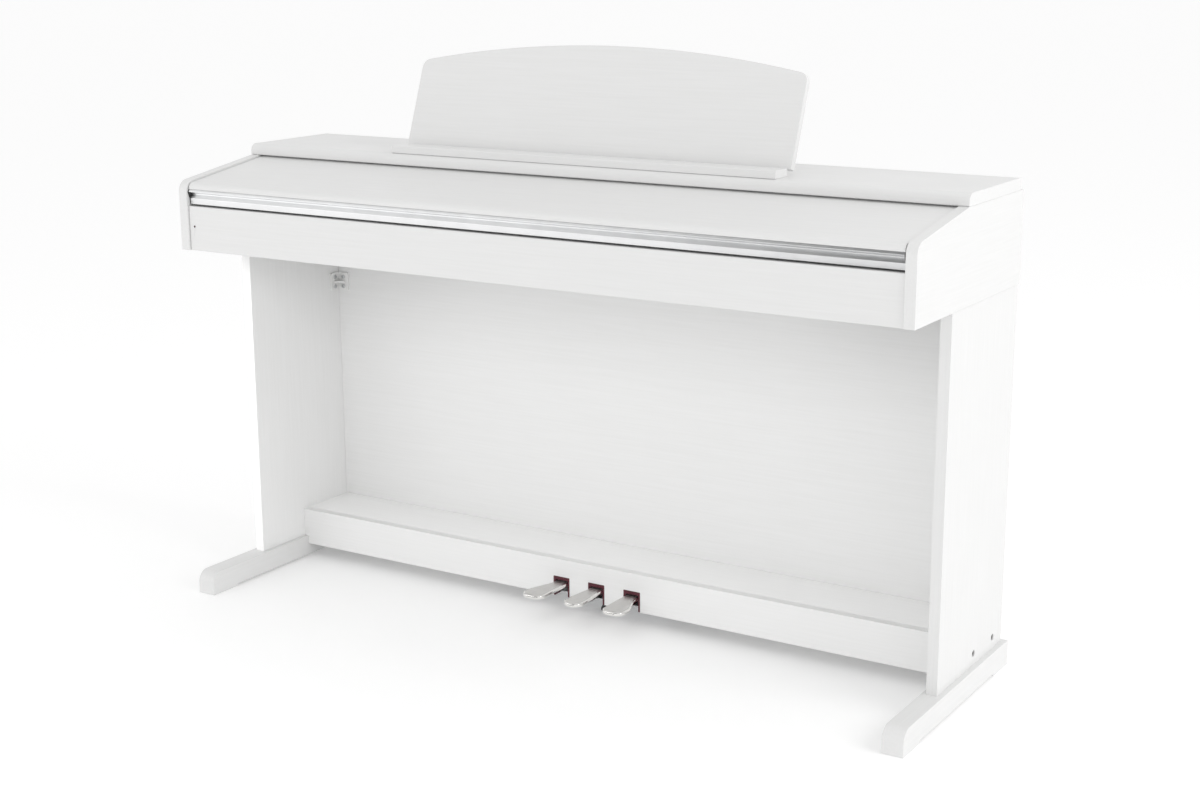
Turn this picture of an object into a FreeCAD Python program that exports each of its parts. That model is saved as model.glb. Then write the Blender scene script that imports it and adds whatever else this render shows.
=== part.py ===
import FreeCAD, Part
import math
import os
import re
import Sketcher

# A console digital piano on a panel stand, in millimetres.
#
# Frame: +Z up, +X to the player's right, the player sits on the -Y side. The origin is on
# the floor, midway between the outer faces of the feet and midway between their two ends.
#
# The body is a box of boards: two cheeks, a top board, a front rail, a key bed and a rear
# board. A key lid with a finger grip slides back under the top board: its rear edge hangs
# from a shaft whose two pinions run on racks. A music rest folds back from a ledge on the
# top board. The body stands on two side panels with bar feet, joined by a back panel and
# by a low box that holds three pedals.

SHEET = "Dims"

DIMENSIONS = {
    # Body
    "body_half": 700,            # half the width over the cheeks
    "board_thick": 18,           # side, front, rear and stand boards
    "front_y": -220,             # front face of the cheeks
    "cheek_back_y": 207,
    "body_base": 648,            # underside of the body, on top of the leg panels
    "cheek_nose": 770,           # top of the cheeks at their front
    "cheek_round": 20,
    "slope_end_y": -28,          # where the cheeks' slope meets the top board
    "top_base": 799,             # underside of the top board
    "top_thick": 20,
    "top_round": 13,
    "edge_round": 3,
    "top_back_y": 190,
    "rail_set_back": 4,          # front rail behind the cheeks' front
    "rail_top": 727,
    "rail_gap": 1,               # between the front rail and each cheek
    "bed_thick": 15,
    "speaker_y": 102,
    # Key set
    "key_pitch": 23.5,           # one white key
    "key_gap": 1,
    "key_front_y": -197,
    "key_tail_y": 23,
    "key_top": 725,
    "key_depth": 20,
    "head_end_y": -150,          # front of the black keys
    "head_gap": 1.5,
    "sharp_slot": 13,
    "sharp_width": 10.5,
    "sharp_top": 736.5,
    "sharp_slope": 5,
    "sharp_end_y": -52,
    "sharp_tail_top": 719,
    "pivot_y": 13,
    "pivot_z": 705,
    "frame_half": 611,
    "frame_plate": 4,
    "block_inner": 613,          # end blocks beside the keys
    # Control panel behind the keys
    "panel_front_y": -48,
    "panel_rear_y": 80,
    "panel_low": 729,
    "panel_top": 750,
    "sheet_thick": 3,
    # Key lid
    "lid_half": 680.5,
    "lid_tail_y": -14,
    "lid_thick": 11,
    "shaft_y": -20,
    "shaft_z": 776,
    "shaft_radius": 4,
    "pinion_teeth": 14,
    "rack_front_y": -24,
    "rack_low": 758,
    # Music rest
    "ledge_half": 378,
    "ledge_front_y": -20,
    "ledge_depth": 40,
    "ledge_thick": 13,
    "desk_half": 380,
    "desk_front_y": 30,          # foot of the desk's front face
    "desk_foot_z": 829,
    "desk_thick": 12,
    "desk_side": 156,            # height of the desk's sides, along its face
    "desk_rise": 192,            # height of its arch at the middle
    "desk_corner": 16,
    "desk_lean": 20.5,           # degrees back from upright
    "rest_hinge_x": 265,
    "rest_pin_up": 4,            # hinge pin, up the desk from its foot
    "rest_pin_in": 9,            # and in from its front face
    "hinge_skin": 3.6,           # desk left in front of each hinge
    "prop_up": 60,
    "prop_length": 70,
    "prop_half": 60,
    "prop_angle": 35,            # degrees back from straight down
    "wire_radius": 2,
    # Stand
    "leg_outer": 696.5,
    "leg_front_y": -70,
    "leg_back_y": 208,
    "foot_outer": 706,
    "foot_width": 36,
    "foot_top": 43,
    "foot_front_y": -220,
    "foot_back_y": 220,
    "foot_round": 22,
    "foot_pad": 65,              # length of the foot that touches the floor at each end
    "foot_recess": 4,
    "back_panel_y": 182,
    "back_panel_low": 30,
    # Pedal box
    "pedal_board_y": 50,
    "pedal_base": 27,
    "pedal_box_top": 97,
    "notch_pitch": 74,
    "notch_half": 17,
    "notch_top": 64,
    "pedal_half": 13,            # half the width of a pedal's neck
    "toe_half": 18.5,            # half the width of the middle pedal's toe
    "toe_spread": 31,            # reach of an outer pedal's toe, away from the middle
    "toe_round": 18,
    "flare_y": 38,               # where the sides start to spread, and where they end
    "toe_y": -8,
    "flare_round": 45,
    "pedal_tip_y": -39,
    "pedal_low": 48,
    "pedal_high": 55,
    "pedal_pivot_y": 130,
    "pedal_pivot_z": 46,
}

OCTAVE_KEYS = 7
LEFT_EDGE = -26          # the lowest white key's left side, in key pitches from the middle
TOOTH_TIP = 1.0          # tooth height above the pitch line, for a module of 1 mm
TOOTH_ROOT = 1.25
TOOTH_HALF_TIP = 0.35
TOOTH_HALF_ROOT = 0.95

doc = FreeCAD.newDocument("digital_piano")
size = DIMENSIONS

sheet = doc.addObject("Spreadsheet::Sheet", SHEET)
for row, (alias, value) in enumerate(DIMENSIONS.items(), start=1):
    sheet.set(f"A{row}", alias)
    sheet.set(f"B{row}", str(value))
    sheet.setAlias(f"B{row}", alias)
doc.recompute()


# ---------------------------------------------------------------------------
# Ways of making a piece
# ---------------------------------------------------------------------------

def cell_formula(formula):
    """The formula with each dimension's name turned into a reference to its cell."""
    def reference(match):
        word = match.group(0)
        return f"{SHEET}.{word}" if word in DIMENSIONS else word
    return re.sub(r"[A-Za-z_]\w*", reference, str(formula))


def bind(item, field, formula):
    item.setExpression(field, cell_formula(formula))


def place(item, x="0", y="0", z="0"):
    bind(item, ".Placement.Base.x", x)
    bind(item, ".Placement.Base.y", y)
    bind(item, ".Placement.Base.z", z)
    return item


def block(name, x, y, z):
    """A box from a low to a high formula along each axis."""
    solid = doc.addObject("Part::Box", name)
    for field, (low, high) in zip(("Length", "Width", "Height"), (x, y, z)):
        bind(solid, field, f"({high}) - ({low})")
    return place(solid, x[0], y[0], z[0])


def rod(name, axis, radius, length, start):
    """A cylinder that runs along an axis from its start point."""
    solid = doc.addObject("Part::Cylinder", name)
    direction = {"X": FreeCAD.Vector(1, 0, 0), "Y": FreeCAD.Vector(0, 1, 0), "Z": FreeCAD.Vector(0, 0, 1)}
    turn = FreeCAD.Rotation(FreeCAD.Vector(0, 0, 1), direction[axis])
    solid.Placement = FreeCAD.Placement(FreeCAD.Vector(), turn)
    bind(solid, "Radius", radius)
    bind(solid, "Height", length)
    return place(solid, *start)


def disc_cone(name, low_radius, high_radius, height, start):
    solid = doc.addObject("Part::Cone", name)
    bind(solid, "Radius1", low_radius)
    bind(solid, "Radius2", high_radius)
    bind(solid, "Height", height)
    return place(solid, *start)


def group(name, *pieces):
    """Separate solids kept as one sub-part."""
    compound = doc.addObject("Part::Compound", name)
    compound.Links = list(pieces)
    return compound


def fuse(name, *pieces):
    union = doc.addObject("Part::MultiFuse", name)
    union.Shapes = list(pieces)
    union.Refine = True
    return union


def cut(name, base, *tools):
    tool = tools[0] if len(tools) == 1 else group(name + "_tools", *tools)
    result = doc.addObject("Part::Cut", name)
    result.Base = base
    result.Tool = tool
    result.Refine = True
    return result


def other_side(piece):
    """The piece's mirror image across the middle of the piano."""
    twin = doc.addObject("Part::Mirroring", piece.Name + "_twin")
    twin.Source = piece
    twin.Normal = (1, 0, 0)
    twin.Base = (0, 0, 0)
    return twin


def both_sides(name, piece):
    return group(name, piece, other_side(piece))


def origin_feature(body, role):
    return next(item for item in body.Origin.OriginFeatures if item.Role == role)


def outline(body, name, plane, corners, start):
    """A closed outline whose corners are each placed by two distances from the origin."""
    sketch = body.newObject("Sketcher::SketchObject", name)
    sketch.AttachmentSupport = (origin_feature(body, plane + "_Plane"), [""])
    sketch.MapMode = "FlatFace"
    bind(sketch, ".AttachmentOffset.Base.z", start)
    count = len(corners)
    ring = [2 * math.pi * index / count for index in range(count + 1)]
    points = [FreeCAD.Vector(100 * math.cos(angle), 100 * math.sin(angle), 0) for angle in ring]
    for index in range(count):
        sketch.addGeometry(Part.LineSegment(points[index], points[index + 1]))
    for index in range(count):
        sketch.addConstraint(Sketcher.Constraint("Coincident", index, 2, (index + 1) % count, 1))
    for index, corner in enumerate(corners):
        for kind, formula in zip(("DistanceX", "DistanceY"), corner):
            number = sketch.addConstraint(Sketcher.Constraint(kind, -1, 1, index, 1, 1.0))
            bind(sketch, f"Constraints[{number}]", formula)
    return sketch


def add_profile(body, plane, corners, start, depth, feature="Pad"):
    """Pad or pocket an outline from a start position, towards +X, +Y or +Z.

    Outlines on YZ give (y, z) corners, on XZ (x, z) and on XY (x, y). The XZ plane's
    normal is -Y, so there the start is negated and the direction turned round.
    """
    name = f"{body.Name}_{feature.lower()}{len(body.Group)}"
    backwards = plane == "XZ"
    offset = f"-({start})" if backwards else start
    sketch = outline(body, name + "_outline", plane, corners, offset)
    item = body.newObject("PartDesign::" + feature, name)
    item.Profile = sketch
    item.Reversed = backwards if feature == "Pad" else not backwards
    bind(item, "Length", depth)
    return item


def board(name, plane, corners, start, depth):
    body = doc.addObject("PartDesign::Body", name)
    add_profile(body, plane, corners, start, depth)
    return body


def rectangle(x_low, x_high, y_low, y_high):
    return [(x_low, y_low), (x_high, y_low), (x_high, y_high), (x_low, y_high)]


def repeat(body, features, axis, spacing, count):
    """Repeat features of a body along an axis."""
    pattern = body.newObject("PartDesign::LinearPattern", body.Name + "_row")
    pattern.Originals = features
    pattern.Direction = (origin_feature(body, axis + "_Axis"), [""])
    bind(pattern, "Length", f"({spacing}) * {count - 1}")
    pattern.Occurrences = count
    body.Tip = pattern


def edge_is_at(edge, spot):
    middle = edge.BoundBox.Center
    return all(abs(getattr(middle, axis) - value) < 0.6 for axis, value in spot.items())


def dress(body, feature, size_field, amount, *spots):
    """Fillet or chamfer the edges whose middles lie at the given coordinates."""
    doc.recompute()
    base = body.Tip
    names = [
        f"Edge{number}"
        for number, edge in enumerate(base.Shape.Edges, start=1)
        if any(edge_is_at(edge, spot) for spot in spots)
    ]
    item = body.newObject("PartDesign::" + feature, f"{body.Name}_{feature.lower()}{len(body.Group)}")
    item.Base = (base, names)
    bind(item, size_field, amount)


def round_edges(body, radius, *spots):
    dress(body, "Fillet", "Radius", radius, *spots)


def bevel_edges(body, amount, *spots):
    dress(body, "Chamfer", "Size", amount, *spots)


# ---------------------------------------------------------------------------
# Body
# ---------------------------------------------------------------------------

INNER = "body_half - board_thick"


def make_cheek(name, start):
    corners = [
        ("front_y", "body_base"),
        ("cheek_back_y", "body_base"),
        ("cheek_back_y", "top_base"),
        ("slope_end_y", "top_base"),
        ("front_y", "cheek_nose"),
    ]
    cheek = board(name, "YZ", corners, start, "board_thick")
    round_edges(cheek, "cheek_round", {"y": size["front_y"], "z": size["cheek_nose"]})
    return cheek


def make_top_board():
    corners = rectangle("slope_end_y", "top_back_y", "top_base", "top_base + top_thick")
    top = board("top_board", "YZ", corners, "-body_half", "2 * body_half")
    surface = size["top_base"] + size["top_thick"]
    round_edges(top, "top_round", {"y": size["slope_end_y"], "z": surface})
    small = ({"y": size["slope_end_y"], "z": size["top_base"]}, {"y": size["top_back_y"], "z": surface})
    round_edges(top, "edge_round", *small)
    return top


def make_front_rail():
    rail_front = "front_y + rail_set_back"
    reach = f"{INNER} - rail_gap"
    rail = block(
        "front_rail_board",
        (f"-({reach})", reach),
        (rail_front, "front_y + rail_set_back + board_thick"),
        ("body_base", "rail_top"),
    )
    hole = rod("lamp_hole", "Y", "1.6", "board_thick + 2", ("-670", f"{rail_front} - 1", "691"))
    return cut("front_rail", rail, hole)


def make_pilot_lamp():
    return rod("pilot_lamp", "Y", "1.5", "board_thick + 1", ("-670", "front_y + rail_set_back - 0.5", "691"))


def make_key_bed():
    """Bottom board of the body, with a round opening over each speaker."""
    bed = block(
        "bed_board",
        (f"-({INNER})", INNER),
        ("front_y + rail_set_back + board_thick", "top_back_y - board_thick"),
        ("body_base", "body_base + bed_thick"),
    )
    hole = rod("speaker_hole", "Z", "60", "bed_thick + 2", ("480", "speaker_y", "body_base - 1"))
    return cut("bottom_board", bed, hole, other_side(hole))


def make_speakers():
    base = "body_base + bed_thick"
    basket = disc_cone("speaker_basket", "66", "34", "30", ("480", "speaker_y", base))
    magnet = rod("speaker_magnet", "Z", "32", "22", ("480", "speaker_y", f"{base} + 28"))
    hollow = disc_cone("speaker_hollow", "57", "20", "24", ("480", "speaker_y", f"{base} - 0.01"))
    driver = fuse("speaker_driver", basket, magnet)
    return both_sides("speakers", cut("speaker", driver, hollow))


def make_speaker_grilles():
    plate = rod("grille", "Z", "59.5", "2", ("480", "speaker_y", "body_base + 1"))
    return both_sides("speaker_grilles", plate)


def make_rear_board():
    rear = block(
        "rear_board_blank",
        (f"-({INNER})", INNER),
        ("top_back_y - board_thick", "top_back_y"),
        ("body_base", "top_base"),
    )
    window = block("socket_window", ("378", "522"), ("top_back_y - 40", "top_back_y + 1"), ("691", "739"))
    return cut("rear_board", rear, window)


def make_connector_panel():
    """Steel plate over the rear board's window, with its sockets behind it."""
    face = "top_back_y + 2"
    plate = block("socket_plate", ("370", "530"), ("top_back_y", face), ("685", "745"))
    pieces = [plate]
    holes = []
    for number, x in enumerate(("395", "420"), start=1):
        pieces.append(rod(f"jack_body{number}", "Y", "8", "24", (x, "top_back_y - 24", "715")))
        holes.append(rod(f"jack_bore{number}", "Y", "3.2", "24", (x, "top_back_y - 20", "715")))
    pieces.append(rod("pedal_socket", "Y", "9", "18", ("450", "top_back_y - 18", "715")))
    holes.append(rod("pedal_socket_bore", "Y", "6", "14", ("450", "top_back_y - 10", "715")))
    pieces.append(block("inlet_body", ("473", "514"), ("top_back_y - 26", "top_back_y"), ("700", "730")))
    holes.append(block("inlet_bore", ("480", "507"), ("top_back_y - 20", "top_back_y + 3"), ("706", "724")))
    return cut("connector_panel", fuse("socket_block", *pieces), *holes)


def make_control_panel():
    """Thin angled cover behind the keys, with two square holes for its buttons."""
    corners = [
        ("panel_front_y", "panel_low"),
        ("panel_front_y + sheet_thick", "panel_low"),
        ("panel_front_y + sheet_thick", "panel_top - sheet_thick"),
        ("panel_rear_y", "panel_top - sheet_thick"),
        ("panel_rear_y", "panel_top"),
        ("panel_front_y", "panel_top"),
    ]
    reach = f"{INNER} - rail_gap"
    cover = board("control_panel", "YZ", corners, f"-({reach})", f"2 * ({reach})")
    for x in BUTTON_PLACES.values():
        hole = rectangle(f"{x} - 6.5", f"{x} + 6.5", "-36.5", "-23.5")
        add_profile(cover, "XY", hole, "panel_top - 2 * sheet_thick", "3 * sheet_thick", "Pocket")
    return cover


def make_main_board():
    """Circuit board on four posts, with its chips, capacitors and power supply."""
    low = "body_base + bed_thick"
    deck = f"{low} + 8"
    top = f"{deck} + 1.6"
    pieces = [block("circuit_card", ("-200", "140"), ("62", "160"), (deck, top))]
    for x in (-192, 132):
        for y in (70, 152):
            pieces.append(rod(f"post_{x + 200}_{y}", "Z", "3", "8", (x, y, low)))
    for number, (x, y) in enumerate(((-150, 80), (-150, 125), (-90, 100), (-30, 80)), start=1):
        pieces.append(block(f"chip{number}", (x, x + 24), (y, y + 24), (top, f"{top} + 2.5")))
    for x in (20, 36, 52):
        pieces.append(rod(f"capacitor_{x}", "Z", "6", "18", (x, 90, top)))
    pieces.append(block("supply_transformer", (75, 125), (80, 140), (top, f"{top} + 34")))
    return group("main_board", *pieces)


# ---------------------------------------------------------------------------
# Keys
# ---------------------------------------------------------------------------

# For each note of an octave: the key's place in pitches from C, and how far the stem is cut
# back on each side. The three stems from C to E are equal, and so are the four from F to B.
STEM_LOW = "(3 * key_pitch - 2 * sharp_slot) / 3"
STEM_HIGH = "(4 * key_pitch - 3 * sharp_slot) / 4"
WHITE_NOTES = {
    "c": (0, "0", f"key_pitch - {STEM_LOW}"),
    "d": (1, f"{STEM_LOW} + sharp_slot - key_pitch", f"{STEM_LOW} + sharp_slot - key_pitch"),
    "e": (2, f"key_pitch - {STEM_LOW}", "0"),
    "f": (3, "0", f"key_pitch - {STEM_HIGH}"),
    "g": (4, f"{STEM_HIGH} + sharp_slot - key_pitch", f"2 * key_pitch - 2 * {STEM_HIGH} - sharp_slot"),
    "a": (5, f"2 * key_pitch - 2 * {STEM_HIGH} - sharp_slot", f"{STEM_HIGH} + sharp_slot - key_pitch"),
    "b": (6, f"key_pitch - {STEM_HIGH}", "0"),
}
BLACK_NOTES = {
    "c_sharp": f"{STEM_LOW} + sharp_slot / 2",
    "d_sharp": f"2 * {STEM_LOW} + 1.5 * sharp_slot",
    "f_sharp": f"3 * key_pitch + {STEM_HIGH} + sharp_slot / 2",
    "g_sharp": f"3 * key_pitch + 2 * {STEM_HIGH} + 1.5 * sharp_slot",
    "a_sharp": f"3 * key_pitch + 3 * {STEM_HIGH} + 2.5 * sharp_slot",
}
EXTRA_LOW_NOTES = ("a", "a_sharp", "b")      # the three notes below the first C
FIRST_C = LEFT_EDGE + 2


def octave_count(note):
    return OCTAVE_KEYS + 1 if note in EXTRA_LOW_NOTES + ("c",) else OCTAVE_KEYS


def first_octave(note):
    """Left side, in key pitches, of the octave that holds the note's lowest key."""
    return FIRST_C - OCTAVE_KEYS if note in EXTRA_LOW_NOTES else FIRST_C


def make_white_keys(note):
    """All the keys of one white note: a wide head and a stem that passes the black keys."""
    index, left_cut, right_cut = WHITE_NOTES[note]
    left = f"({first_octave(note)} + {index}) * key_pitch + key_gap / 2"
    right = f"({first_octave(note)} + {index} + 1) * key_pitch - key_gap / 2"
    shoulder = "head_end_y - head_gap"
    corners = [
        (left, "key_front_y"),
        (right, "key_front_y"),
        (right, shoulder),
        (f"{right} - ({right_cut})", shoulder),
        (f"{right} - ({right_cut})", "key_tail_y"),
        (f"{left} + {left_cut}", "key_tail_y"),
        (f"{left} + {left_cut}", shoulder),
        (left, shoulder),
    ]
    if left_cut == "0":
        corners = corners[:6]
        corners[5] = (left, "key_tail_y")
    elif right_cut == "0":
        corners = corners[:2] + [(right, "key_tail_y")] + corners[5:]
    keys = board(f"{note}_keys", "XY", corners, "key_top - key_depth", "key_depth")
    repeat(keys, [keys.Tip], "X", f"{OCTAVE_KEYS} * key_pitch", octave_count(note))
    return keys


def make_black_keys(note):
    """All the keys of one black note: a sloping front and a low tail."""
    centre = f"{first_octave(note)} * key_pitch + {BLACK_NOTES[note]}"
    corners = [
        ("head_end_y", "key_top - key_depth"),
        ("key_tail_y", "key_top - key_depth"),
        ("key_tail_y", "sharp_tail_top"),
        ("sharp_end_y", "sharp_tail_top"),
        ("sharp_end_y", "sharp_top"),
        ("head_end_y + sharp_slope", "sharp_top"),
    ]
    keys = board(f"{note}_keys", "YZ", corners, f"{centre} - sharp_width / 2", "sharp_width")
    repeat(keys, [keys.Tip], "X", f"{OCTAVE_KEYS} * key_pitch", octave_count(note))
    return keys


def make_key_frame():
    """Pressed steel frame: a floor, a front stop rail and the rear rail the keys rock on."""
    low = "body_base + bed_thick"
    floor = f"{low} + frame_plate"
    corners = [
        ("key_front_y + 7", low),
        ("key_tail_y + 12", low),
        ("key_tail_y + 12", floor),
        ("pivot_y + 4", floor),
        ("pivot_y + 4", "pivot_z - 0.4"),
        ("pivot_y - 4", "pivot_z - 0.4"),
        ("pivot_y - 4", floor),
        ("key_front_y + 37", floor),
        ("key_front_y + 37", "pivot_z - 13"),
        ("key_front_y + 27", "pivot_z - 13"),
        ("key_front_y + 27", floor),
        ("key_front_y + 7", floor),
    ]
    return board("key_frame", "YZ", corners, "-frame_half", "2 * frame_half")


def make_key_felts():
    """Felt under the keys' fronts, and a felt cushion under their tails."""
    front = block(
        "front_felt",
        ("-frame_half", "frame_half"),
        ("key_front_y + 26", "key_front_y + 38"),
        ("pivot_z - 13", "pivot_z - 10.5"),
    )
    low = "body_base + bed_thick + frame_plate"
    rear_y = ("key_tail_y + 2", "key_tail_y + 12")
    rear = block("rear_felt", ("-frame_half", "frame_half"), rear_y, (low, f"{low} + 6"))
    return group("key_felts", front, rear)


def make_end_blocks():
    """Blocks between the keys and the cheeks, with a well for a control in each."""
    well_y = "-100"
    sides = []
    for name, low, high, centre in (
        ("left_block", f"-({INNER} - rail_gap)", "-block_inner", "-647"),
        ("right_block", "block_inner", f"{INNER} - rail_gap", "647"),
    ):
        low_z = "body_base + bed_thick"
        solid = block(name + "_blank", (low, high), ("key_front_y", "panel_front_y - 1"), (low_z, "key_top"))
        well = rod(name + "_well", "Z", "7.5", "20", (centre, well_y, "key_top - 12"))
        sides.append(cut(name, solid, well))
    return group("key_end_blocks", *sides)


def make_power_button():
    return rod("power_button", "Z", "7", "10.5", ("647", "-100", "key_top - 8"))


def make_volume_knob():
    """A round knob with a pointer line cut into its top and a stem in the block's well."""
    cap = rod("knob_cap", "Z", "10", "7", ("-647", "-100", "key_top + 0.6"))
    stem = rod("knob_stem", "Z", "4", "8", ("-647", "-100", "key_top - 7"))
    line = block("knob_line", ("-647.6", "-646.4"), ("-109", "-101"), ("key_top + 7", "key_top + 9"))
    return cut("volume_knob", fuse("knob_solid", cap, stem), line)


BUTTON_PLACES = {"voice_button": -560, "metronome_button": -530}


def make_function_button(name):
    x = BUTTON_PLACES[name]
    cap = rectangle(x - 6, x + 6, "-36", "-24")
    button = board(name, "XY", cap, "panel_top - 7", "9.5")
    bevel_edges(button, "1", {"z": size["panel_top"] + 2.5})
    return button


# ---------------------------------------------------------------------------
# Key lid
# ---------------------------------------------------------------------------

# The lid's top runs from behind its rounded nose up to the slot under the top board.
LID_SLOPE = "(top_base - cheek_nose) / (slope_end_y - front_y)"
LID_NOSE_Y = "front_y + 14.6"
LID_NOSE_Z = "cheek_nose - 1.3"


def lid_top(y):
    return f"{LID_NOSE_Z} + ({y} - ({LID_NOSE_Y})) * {LID_SLOPE}"


def make_lid_panel():
    corners = [
        ("front_y + 5", f"({lid_top('front_y + 5')}) - lid_thick"),
        ("lid_tail_y", f"({lid_top('lid_tail_y')}) - lid_thick"),
        ("lid_tail_y", lid_top("lid_tail_y")),
        (LID_NOSE_Y, LID_NOSE_Z),
        ("front_y + 7.9", "cheek_nose - 6"),
        ("front_y + 5", "cheek_nose - 10.5"),
    ]
    return board("lid_panel", "YZ", corners, "-lid_half", "2 * lid_half")


def make_lid_grip_rail():
    """Extruded rail under the lid's front edge, with a three-sided finger groove."""
    def under_lid(y):
        return f"({lid_top(y)}) - lid_thick"

    corners = [
        ("front_y + 5", under_lid("front_y + 5")),
        ("front_y + 3", "751.9"),
        ("front_y + 17.5", "749.2"),
        ("front_y + 7.3", "740.4"),
        ("front_y + 8.3", "730"),
        ("front_y + 22", "732"),
        ("front_y + 22", under_lid("front_y + 22")),
    ]
    return board("lid_grip_rail", "YZ", corners, "-lid_half", "2 * lid_half")


def gear_teeth_corners():
    """Corners (y, z) round the pinion, one tooth centred straight below the shaft."""
    teeth = size["pinion_teeth"]
    pitch = teeth / 2.0
    tip_turn = TOOTH_HALF_TIP / (pitch + TOOTH_TIP)
    root_turn = TOOTH_HALF_ROOT / (pitch - TOOTH_ROOT)
    corners = []
    for tooth in range(teeth):
        middle = -math.pi / 2 + 2 * math.pi * tooth / teeth
        for radius, turn in (
            (pitch - TOOTH_ROOT, -root_turn),
            (pitch + TOOTH_TIP, -tip_turn),
            (pitch + TOOTH_TIP, tip_turn),
            (pitch - TOOTH_ROOT, root_turn),
        ):
            corners.append((radius * math.cos(middle + turn), radius * math.sin(middle + turn)))
    return corners


def make_lid_gear_shaft():
    """Steel shaft across the body, with a pinion at each end."""
    shaft = rod("shaft_bar", "X", "shaft_radius", "1360", ("-680", "shaft_y", "shaft_z"))
    points = [FreeCAD.Vector(672.5, y, z) for y, z in gear_teeth_corners()]
    face = Part.Face(Part.makePolygon(points + points[:1]))
    pinion = doc.addObject("Part::Feature", "pinion")
    pinion.Shape = face.extrude(FreeCAD.Vector(7, 0, 0))
    place(pinion, "0", "shaft_y", "shaft_z")
    return fuse("lid_gear_shaft", shaft, pinion, other_side(pinion))


def make_lid_tracks():
    """A rack and a flat ledge along each cheek. A rack gap lies straight below the shaft."""
    pitch_line = size["shaft_z"] - size["pinion_teeth"] / 2.0
    low = pitch_line - TOOTH_TIP - 0.35
    high = pitch_line + TOOTH_ROOT - 0.4
    front = size["rack_front_y"] + 0.0
    back = size["top_back_y"] - size["board_thick"] - 1.0
    step = math.pi
    middle = size["shaft_y"] + step / 2
    while middle - step > front + 1.5:
        middle -= step
    points = [(front, size["rack_low"]), (front, low)]
    while middle < back - 1.5:
        points += [
            (middle - TOOTH_HALF_ROOT, low),
            (middle - TOOTH_HALF_TIP, high),
            (middle + TOOTH_HALF_TIP, high),
            (middle + TOOTH_HALF_ROOT, low),
        ]
        middle += step
    points += [(back, low), (back, size["rack_low"])]
    corners = [FreeCAD.Vector(671.5, y, z) for y, z in points]
    face = Part.Face(Part.makePolygon(corners + corners[:1]))
    rack = doc.addObject("Part::Feature", "rack")
    rack.Shape = face.extrude(FreeCAD.Vector(size["body_half"] - size["board_thick"] - 671.5, 0, 0))
    ledge_back = "top_back_y - board_thick - 1"
    ledge = block("track_ledge", ("655", "671.5"), ("rack_front_y", ledge_back), ("rack_low", "rack_low + 5"))
    return both_sides("lid_tracks", fuse("track", rack, ledge))


def make_lid_runners():
    """Nylon blocks that carry the shaft's ends along the ledges."""
    solid = block(
        "runner_blank",
        ("658", "670"),
        ("shaft_y - 7", "shaft_y + 7"),
        ("rack_low + 5.3", "shaft_z + 6.5"),
    )
    bore = rod("runner_bore", "X", "shaft_radius + 0.05", "14", ("657", "shaft_y", "shaft_z"))
    return both_sides("lid_runners", cut("runner", solid, bore))


def make_lid_brackets():
    """Steel hangers under the lid's tail that turn on the shaft."""
    def under_lid(y):
        return f"({lid_top(y)}) - lid_thick"

    corners = [
        ("shaft_y - 60", f"{under_lid('shaft_y - 60')} - 2"),
        ("shaft_y - 7", f"{under_lid('shaft_y - 7')} - 2"),
        ("shaft_y - 7", "shaft_z - 6"),
        ("shaft_y + 6", "shaft_z - 6"),
        ("shaft_y + 6", under_lid("shaft_y + 6")),
        ("shaft_y - 60", under_lid("shaft_y - 60")),
    ]
    hanger = board("hanger", "YZ", corners, "634", "14")
    bore = rod("hanger_bore", "X", "shaft_radius + 0.05", "16", ("633", "shaft_y", "shaft_z"))
    return both_sides("lid_brackets", cut("hanger_bored", hanger, bore))


# ---------------------------------------------------------------------------
# Music rest
# ---------------------------------------------------------------------------

def desk_point(up, deep):
    """Formulas for y and z of a point up the desk's face and in through its thickness."""
    lean = "desk_lean * 1deg"
    y = f"desk_front_y + ({up}) * sin({lean}) + ({deep}) * cos({lean})"
    z = f"desk_foot_z + ({up}) * cos({lean}) - ({deep}) * sin({lean})"
    return y, z


def lean_back(piece):
    """Stand a piece drawn on the desk's own axes in its place on the top board."""
    turn = FreeCAD.Rotation(FreeCAD.Vector(-1, 0, 0), size["desk_lean"])
    piece.Placement = FreeCAD.Placement(FreeCAD.Vector(), turn)
    bind(piece, ".Placement.Rotation.Angle", "desk_lean * 1deg")
    return place(piece, "0", "desk_front_y", "desk_foot_z")


def make_ledge():
    corners = rectangle("ledge_front_y", "ledge_front_y + ledge_depth", "top_base + top_thick",
                        "top_base + top_thick + ledge_thick")
    ledge = board("music_rest_ledge", "YZ", corners, "-ledge_half", "2 * ledge_half")
    top = size["top_base"] + size["top_thick"] + size["ledge_thick"]
    round_edges(ledge, "2", {"y": size["ledge_front_y"], "z": top})
    return ledge


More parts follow.
